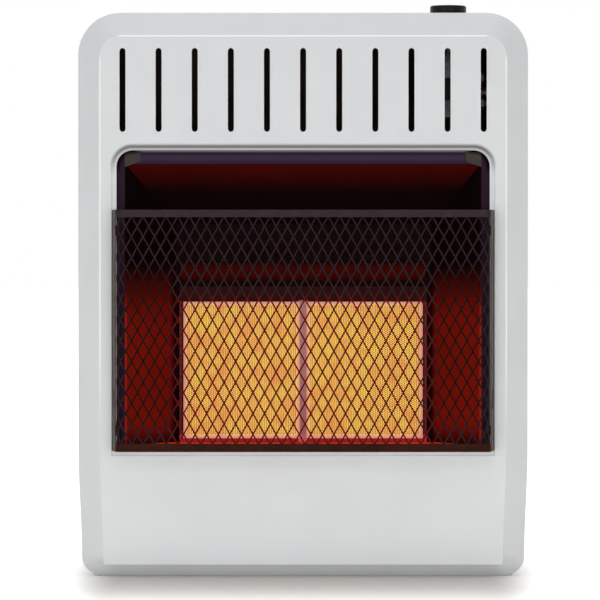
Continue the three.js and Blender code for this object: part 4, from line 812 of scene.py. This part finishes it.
def pierced_tree():
    """Copies of the seed in columns, every other column moved up by half a row and one shorter."""
    sizes = {
        "Columns": "Int",
        "Rows": "Int",
        "Column Pitch": "Float",
        "Row Pitch": "Float",
        "Corner": "Vector",
        "Face Level": "Float",
        "Face Finish": "Material",
        "Hole Finish": "Material",
    }
    tree, given, result = new_tree("pierced_field", sizes)
    rows = given["Rows"]
    count = add_node(tree, "ShaderNodeMath", {0: given["Columns"], 1: rows}, operation="MULTIPLY")
    line = add_node(tree, "GeometryNodeMeshLine", {"Count": count, "Offset": (0, 0, 0)})
    index = add_node(tree, "GeometryNodeInputIndex")
    middle = add_node(tree, "ShaderNodeMath", {0: index, 1: 0.5}, operation="ADD")
    share = add_node(tree, "ShaderNodeMath", {0: middle, 1: rows}, operation="DIVIDE")
    column = add_node(tree, "ShaderNodeMath", {0: share}, operation="FLOOR")
    before = add_node(tree, "ShaderNodeMath", {0: column, 1: rows}, operation="MULTIPLY")
    row = add_node(tree, "ShaderNodeMath", {0: index, 1: before}, operation="SUBTRACT")
    odd = add_node(tree, "ShaderNodeMath", {0: column, 1: 2.0}, operation="MODULO")
    step = add_node(tree, "ShaderNodeMath", {0: odd, 1: 0.5, 2: row}, operation="MULTIPLY_ADD")
    x = add_node(tree, "ShaderNodeMath", {0: column, 1: given["Column Pitch"]}, operation="MULTIPLY")
    z = add_node(tree, "ShaderNodeMath", {0: step, 1: given["Row Pitch"]}, operation="MULTIPLY")
    offset = add_node(tree, "ShaderNodeCombineXYZ", {0: x, 2: z})
    spot = add_node(
        tree, "ShaderNodeVectorMath", {0: offset, 1: given["Corner"]}, operation="ADD"
    )
    points = add_node(tree, "GeometryNodeSetPosition", {"Geometry": line, "Position": spot})
    top = add_node(tree, "ShaderNodeMath", {0: rows, 1: 1.0}, operation="SUBTRACT")
    spare = add_node(tree, "FunctionNodeCompare", {0: step, 1: top}, operation="GREATER_THAN")
    kept = add_node(
        tree, "GeometryNodeDeleteGeometry", {"Geometry": points, "Selection": spare}, domain="POINT"
    )
    copies = add_node(
        tree, "GeometryNodeInstanceOnPoints", {"Points": kept, "Instance": given["Geometry"]}
    )
    whole = add_node(tree, "GeometryNodeRealizeInstances", {0: copies})
    dark = add_node(
        tree, "GeometryNodeSetMaterial", {"Geometry": whole, "Material": given["Hole Finish"]}
    )
    place = add_node(tree, "GeometryNodeInputPosition")
    depth = add_node(tree, "ShaderNodeSeparateXYZ", {0: place}).outputs[1]
    front = add_node(
        tree, "FunctionNodeCompare", {0: depth, 1: given["Face Level"]}, operation="LESS_THAN"
    )
    bright = add_node(
        tree,
        "GeometryNodeSetMaterial",
        {"Geometry": dark, "Selection": front, "Material": given["Face Finish"]},
    )
    tree.links.new(bright.outputs[0], result)
    return tree


def tile_body(low, high, corner):
    """A tile's sides and back, the plain margin round its holes, and the half cells between them."""
    (x0, y0, z0), (x1, y1, z1) = low, high
    columns, rows = HOLE["columns"], HOLE["rows"]
    across = [corner[0] + HOLE["column"] * i for i in range(columns + 1)]
    up = [corner[1] + HOLE["row"] / 2 * i for i in range(2 * rows + 1)]
    u0, u1, v0, v1 = across[0], across[-1], up[0], up[-1]
    outlines = [
        [(x0, y0, z1), (x0, y0, z0)] + [(u0, y0, v) for v in up],
        [(x1, y0, z0), (x1, y0, z1)] + [(u1, y0, v) for v in reversed(up)],
        [(x0, y0, z0), (x1, y0, z0)] + [(u, y0, v0) for u in reversed(across)],
        [(x1, y0, z1), (x0, y0, z1)] + [(u, y0, v1) for u in across],
        [(x0, y1, z0), (x0, y1, z1), (x1, y1, z1), (x1, y1, z0)],
        [(x0, y0, z0), (x0, y0, z1), (x0, y1, z1), (x0, y1, z0)],
        [(x1, y0, z0), (x1, y1, z0), (x1, y1, z1), (x1, y0, z1)],
        [(x0, y0, z0), (x0, y1, z0), (x1, y1, z0), (x1, y0, z0)],
        [(x0, y0, z1), (x1, y0, z1), (x1, y1, z1), (x0, y1, z1)],
    ]
    for i in range(1, columns, 2):
        for start, end in ((v0, up[1]), (up[-2], v1)):
            left, right = across[i], across[i + 1]
            outlines.append([(left, y0, start), (right, y0, start), (right, y0, end), (left, y0, end)])
    shape = bmesh.new()
    for outline in outlines:
        shape.faces.new([shape.verts.new(mm(*point)) for point in outline])
    return shape


def plaque(node, name, tree):
    """A ceramic tile: its body joined with its field of holes."""
    low, high = (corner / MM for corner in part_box(node))
    side = math.copysign(FIELD_MIDDLE["side"], low.x + high.x)
    corner = (
        side - HOLE["column"] * HOLE["columns"] / 2,
        FIELD_MIDDLE["height"] - HOLE["row"] * HOLE["rows"] / 2,
    )
    values = {
        "Columns": HOLE["columns"],
        "Rows": HOLE["rows"],
        "Column Pitch": HOLE["column"] * MM,
        "Row Pitch": HOLE["row"] * MM,
        "Corner": mm(corner[0] + HOLE["column"] / 2, low.y, corner[1] + HOLE["row"] / 2),
        "Face Level": (low.y + LEVEL) * MM,
        "Face Finish": ceramic,
        "Hole Finish": hole_wall,
    }
    tile = grown(name, plaque_cell(), tree, values)
    shape = tile_body(low, high, corner)
    front = tile.data.materials.find(ceramic.name)
    for face in shape.faces:
        face.material_index = front
    shape.from_mesh(tile.data)
    bmesh.ops.remove_doubles(shape, verts=shape.verts, dist=JOINED * MM)
    shape.to_mesh(tile.data)
    shape.free()
    return dress(tile, "heater_body", "ceramic", node)


pierced_field = pierced_tree()
plaque("left_plaque", "left_pierced_plaque", pierced_field)
plaque("right_plaque", "right_pierced_plaque", pierced_field)


# Turned shapes
def lathe(shape, profile, centre, sides, ripple=None):
    """Spins a profile of (radius, height) in mm about an upright axis, closed at its ends.

    ripple(turn, radius) changes a radius with the angle.
    """
    rings = []
    for radius, height in profile:
        ring = []
        for i in range(sides):
            turn = 2 * math.pi * i / sides
            wide = ripple(turn, radius) if ripple else radius
            point = (wide * math.cos(turn), wide * math.sin(turn), height)
            ring.append(shape.verts.new(mm(*[c + p for c, p in zip(centre, point)])))
        rings.append(ring)
    for lower, upper in zip(rings, rings[1:]):
        for i in range(sides):
            after = (i + 1) % sides
            shape.faces.new((lower[i], lower[after], upper[after], upper[i]))
    shape.faces.new(rings[-1])
    shape.faces.new(reversed(rings[0]))


# Control knob: a moulded cap with a skirt, shallow finger flutes, a dished top and a raised pointer
KNOB_CREASE = math.radians(35)
KNOB = {"sides": 144, "flutes": 18, "flute": 0.15, "grip": (0.35, 0.22), "dish": (2, 1.9)}
POINTER = {"width": 1.7, "start": 5.5, "end": 13.4, "base": 1.9, "top": 0.5, "slope": 0.6}
# The cap's outline, as distances inwards from its widest: heights from its base up to the grip,
# then drops from its top, over the rounded shoulder and down into the dish
KNOB_SKIRT = [(1.6, 0), (0.5, 0), (0.1, 0.4), (0, 1.2), (0, 3.0), (0.2, 3.5), (0.25, 4.2)]
KNOB_HEAD = [(0.25, 4.4), (0.3, 2.6), (0.45, 1.7), (0.9, 1.0), (1.7, 0.7), (2.6, 0.8), (3.6, 1.3), (5.5, 1.7)]


def knob_cap():
    """The cap with its flutes and its pointer."""
    low, high = (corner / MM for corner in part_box("control_knob"))
    centre = ((low.x + high.x) / 2, (low.y + high.y) / 2, low.z)
    radius, height = (high.x - low.x) / 2, high.z - low.z
    profile = [(radius - inset, level) for inset, level in KNOB_SKIRT]
    profile += [(radius - inset, height - drop) for inset, drop in KNOB_HEAD]
    profile.append((KNOB["dish"][0], height - KNOB["dish"][1]))
    grip = [radius - inset for inset in KNOB["grip"]]

    def fluted(turn, wide):
        if grip[0] < wide < grip[1]:
            return wide - KNOB["flute"] * max(0, math.cos(turn * KNOB["flutes"])) ** 2
        return wide

    shape = bmesh.new()
    lathe(shape, profile, centre, KNOB["sides"], fluted)
    ridge = []
    for width, level, inset in (
        (POINTER["width"] / 2, height - POINTER["base"], 0),
        (POINTER["width"] / 4, height - POINTER["top"], POINTER["slope"]),
    ):
        start, end = POINTER["start"] + inset, POINTER["end"] - inset
        for x, y in ((-width, -end), (width, -end), (width, -start), (-width, -start)):
            ridge.append(shape.verts.new(mm(centre[0] + x, centre[1] + y, centre[2] + level)))
    for corners in ((3, 2, 1, 0), (4, 5, 6, 7), (0, 1, 5, 4), (1, 2, 6, 5), (2, 3, 7, 6), (3, 0, 4, 7)):
        shape.faces.new([ridge[i] for i in corners])
    mesh = bpy.data.meshes.new("knob_cap")
    shape.to_mesh(mesh)
    shape.free()
    mesh.materials.append(black_plastic)
    mesh.polygons.foreach_set("use_smooth", [True] * len(mesh.polygons))
    mesh.set_sharp_from_angle(angle=KNOB_CREASE)
    return dress(placed("fluted_knob_cap", mesh), "knob", "black_plastic", "control_knob")


knob_cap()


# Stage: a pale floor, a white surround and soft lamps. Both show white to the camera and in
# reflections. The floor does so only away from the heater. Near it the floor keeps the heater's
# shadow, in a greyer colour than the one that gives its light back to the heater.
FLOOR = {"half": 30000, "bounce": "#dfded9", "seen": "#c1c0bc", "roughness": 0.9, "specular": 0.1}
# How far from the middle the floor is all white, and from how far inwards it is all shadow
SHADOW = {"side": (238, 163), "depth": (800, 180)}


def seen_ray(tree):
    """1 for rays of the camera, of reflections and through glass, 0 for light that falls on things."""
    rays = add_node(tree, "ShaderNodeLightPath").outputs
    seen = {0: rays["Is Camera Ray"], 1: rays["Is Glossy Ray"]}
    either = add_node(tree, "ShaderNodeMath", seen, operation="MAXIMUM")
    through = {0: either, 1: rays["Is Transmission Ray"]}
    return add_node(tree, "ShaderNodeMath", through, operation="MAXIMUM")


def studio_floor():
    """A wide floor that whitens away from the heater."""
    half = FLOOR["half"]
    mesh = bpy.data.meshes.new("studio_floor")
    corners = [(-half, -half), (half, -half), (half, half), (-half, half)]
    mesh.from_pydata([mm(x, y, 0) for x, y in corners], [], [(0, 1, 2, 3)])
    material = bpy.data.materials.new("pale_studio_floor")
    material.use_nodes = True
    tree = material.node_tree
    shader = tree.nodes["Principled BSDF"]
    seen = seen_ray(tree)
    colour = blended(tree, seen, srgb(FLOOR["bounce"]), srgb(FLOOR["seen"]))
    tree.links.new(colour, shader.inputs["Base Color"])
    shader.inputs["Roughness"].default_value = FLOOR["roughness"]
    shader.inputs["Specular IOR Level"].default_value = FLOOR["specular"]
    shader.inputs["Emission Color"].default_value = (1, 1, 1, 1)
    place = add_node(tree, "ShaderNodeTexCoord").outputs["Object"]
    spot = add_node(tree, "ShaderNodeSeparateXYZ", {0: place}).outputs
    near = 1.0
    for axis, way in enumerate(("side", "depth")):
        away = add_node(tree, "ShaderNodeMath", {0: spot[axis]}, operation="ABSOLUTE")
        start, end = SHADOW[way]
        span = {"Value": away, "From Min": start * MM, "From Max": end * MM}
        rise = add_node(tree, "ShaderNodeMapRange", span, interpolation_type="SMOOTHSTEP")
        near = add_node(tree, "ShaderNodeMath", {0: near, 1: rise}, operation="MULTIPLY")
    clear = add_node(tree, "ShaderNodeMath", {0: 1.0, 1: near}, operation="SUBTRACT")
    shown = add_node(tree, "ShaderNodeMath", {0: clear, 1: seen}, operation="MULTIPLY")
    tree.links.new(shown.outputs[0], shader.inputs["Emission Strength"])
    mesh.materials.append(material)
    placed("studio_floor", mesh)


# Light that the surround gives to surfaces, where its own white is 1
SURROUND_LIGHT = 0.42


def white_surround():
    """A plain white world that lights surfaces less than it shows."""
    world = bpy.data.worlds.new("white_surround")
    bpy.context.scene.world = world
    world.use_nodes = True
    tree = world.node_tree
    background = tree.nodes["Background"]
    background.inputs["Color"].default_value = (1, 1, 1, 1)
    share = {"Value": seen_ray(tree), "To Min": SURROUND_LIGHT}
    strength = add_node(tree, "ShaderNodeMapRange", share)
    tree.links.new(strength.outputs[0], background.inputs["Strength"])


def softbox(name, place, size, power, aim=(0, 0, 0.25), spread=180):
    """A soft lamp in metres and watts, whose light stays within spread degrees."""
    data = bpy.data.lights.new(name, "AREA")
    data.spread = math.radians(spread)
    data.shape = "RECTANGLE"
    data.size, data.size_y = size
    data.energy = power
    lamp = bpy.data.objects.new(name, data)
    bpy.context.scene.collection.objects.link(lamp)
    lamp.location = Vector(place)
    lamp.rotation_mode = "QUATERNION"
    lamp.rotation_quaternion = (Vector(aim) - lamp.location).to_track_quat("-Z", "Y")


studio_floor()
white_surround()
softbox("key_softbox", (-1.45, -2.6, 0.95), (0.5, 1.7), 7.5)
softbox("high_softbox", (0, -2.5, 1.75), (2.6, 0.4), 5.5)
softbox("fill_softbox", (1.4, -2.9, 0.65), (0.5, 1.1), 5)
softbox("low_left_softbox", (-0.75, -2.6, 0.15), (0.4, 0.25), 6)
softbox("low_right_softbox", (0.75, -2.6, 0.15), (0.4, 0.25), 6)
softbox("floor_softbox", (0, -0.55, 0.64), (1.2, 0.25), 2.5, aim=(0, -0.55, 0), spread=80)
softbox("top_softbox", (0, 0.35, 2.7), (2.4, 2), 25)

bpy.context.scene.view_settings.view_transform = "Standard"
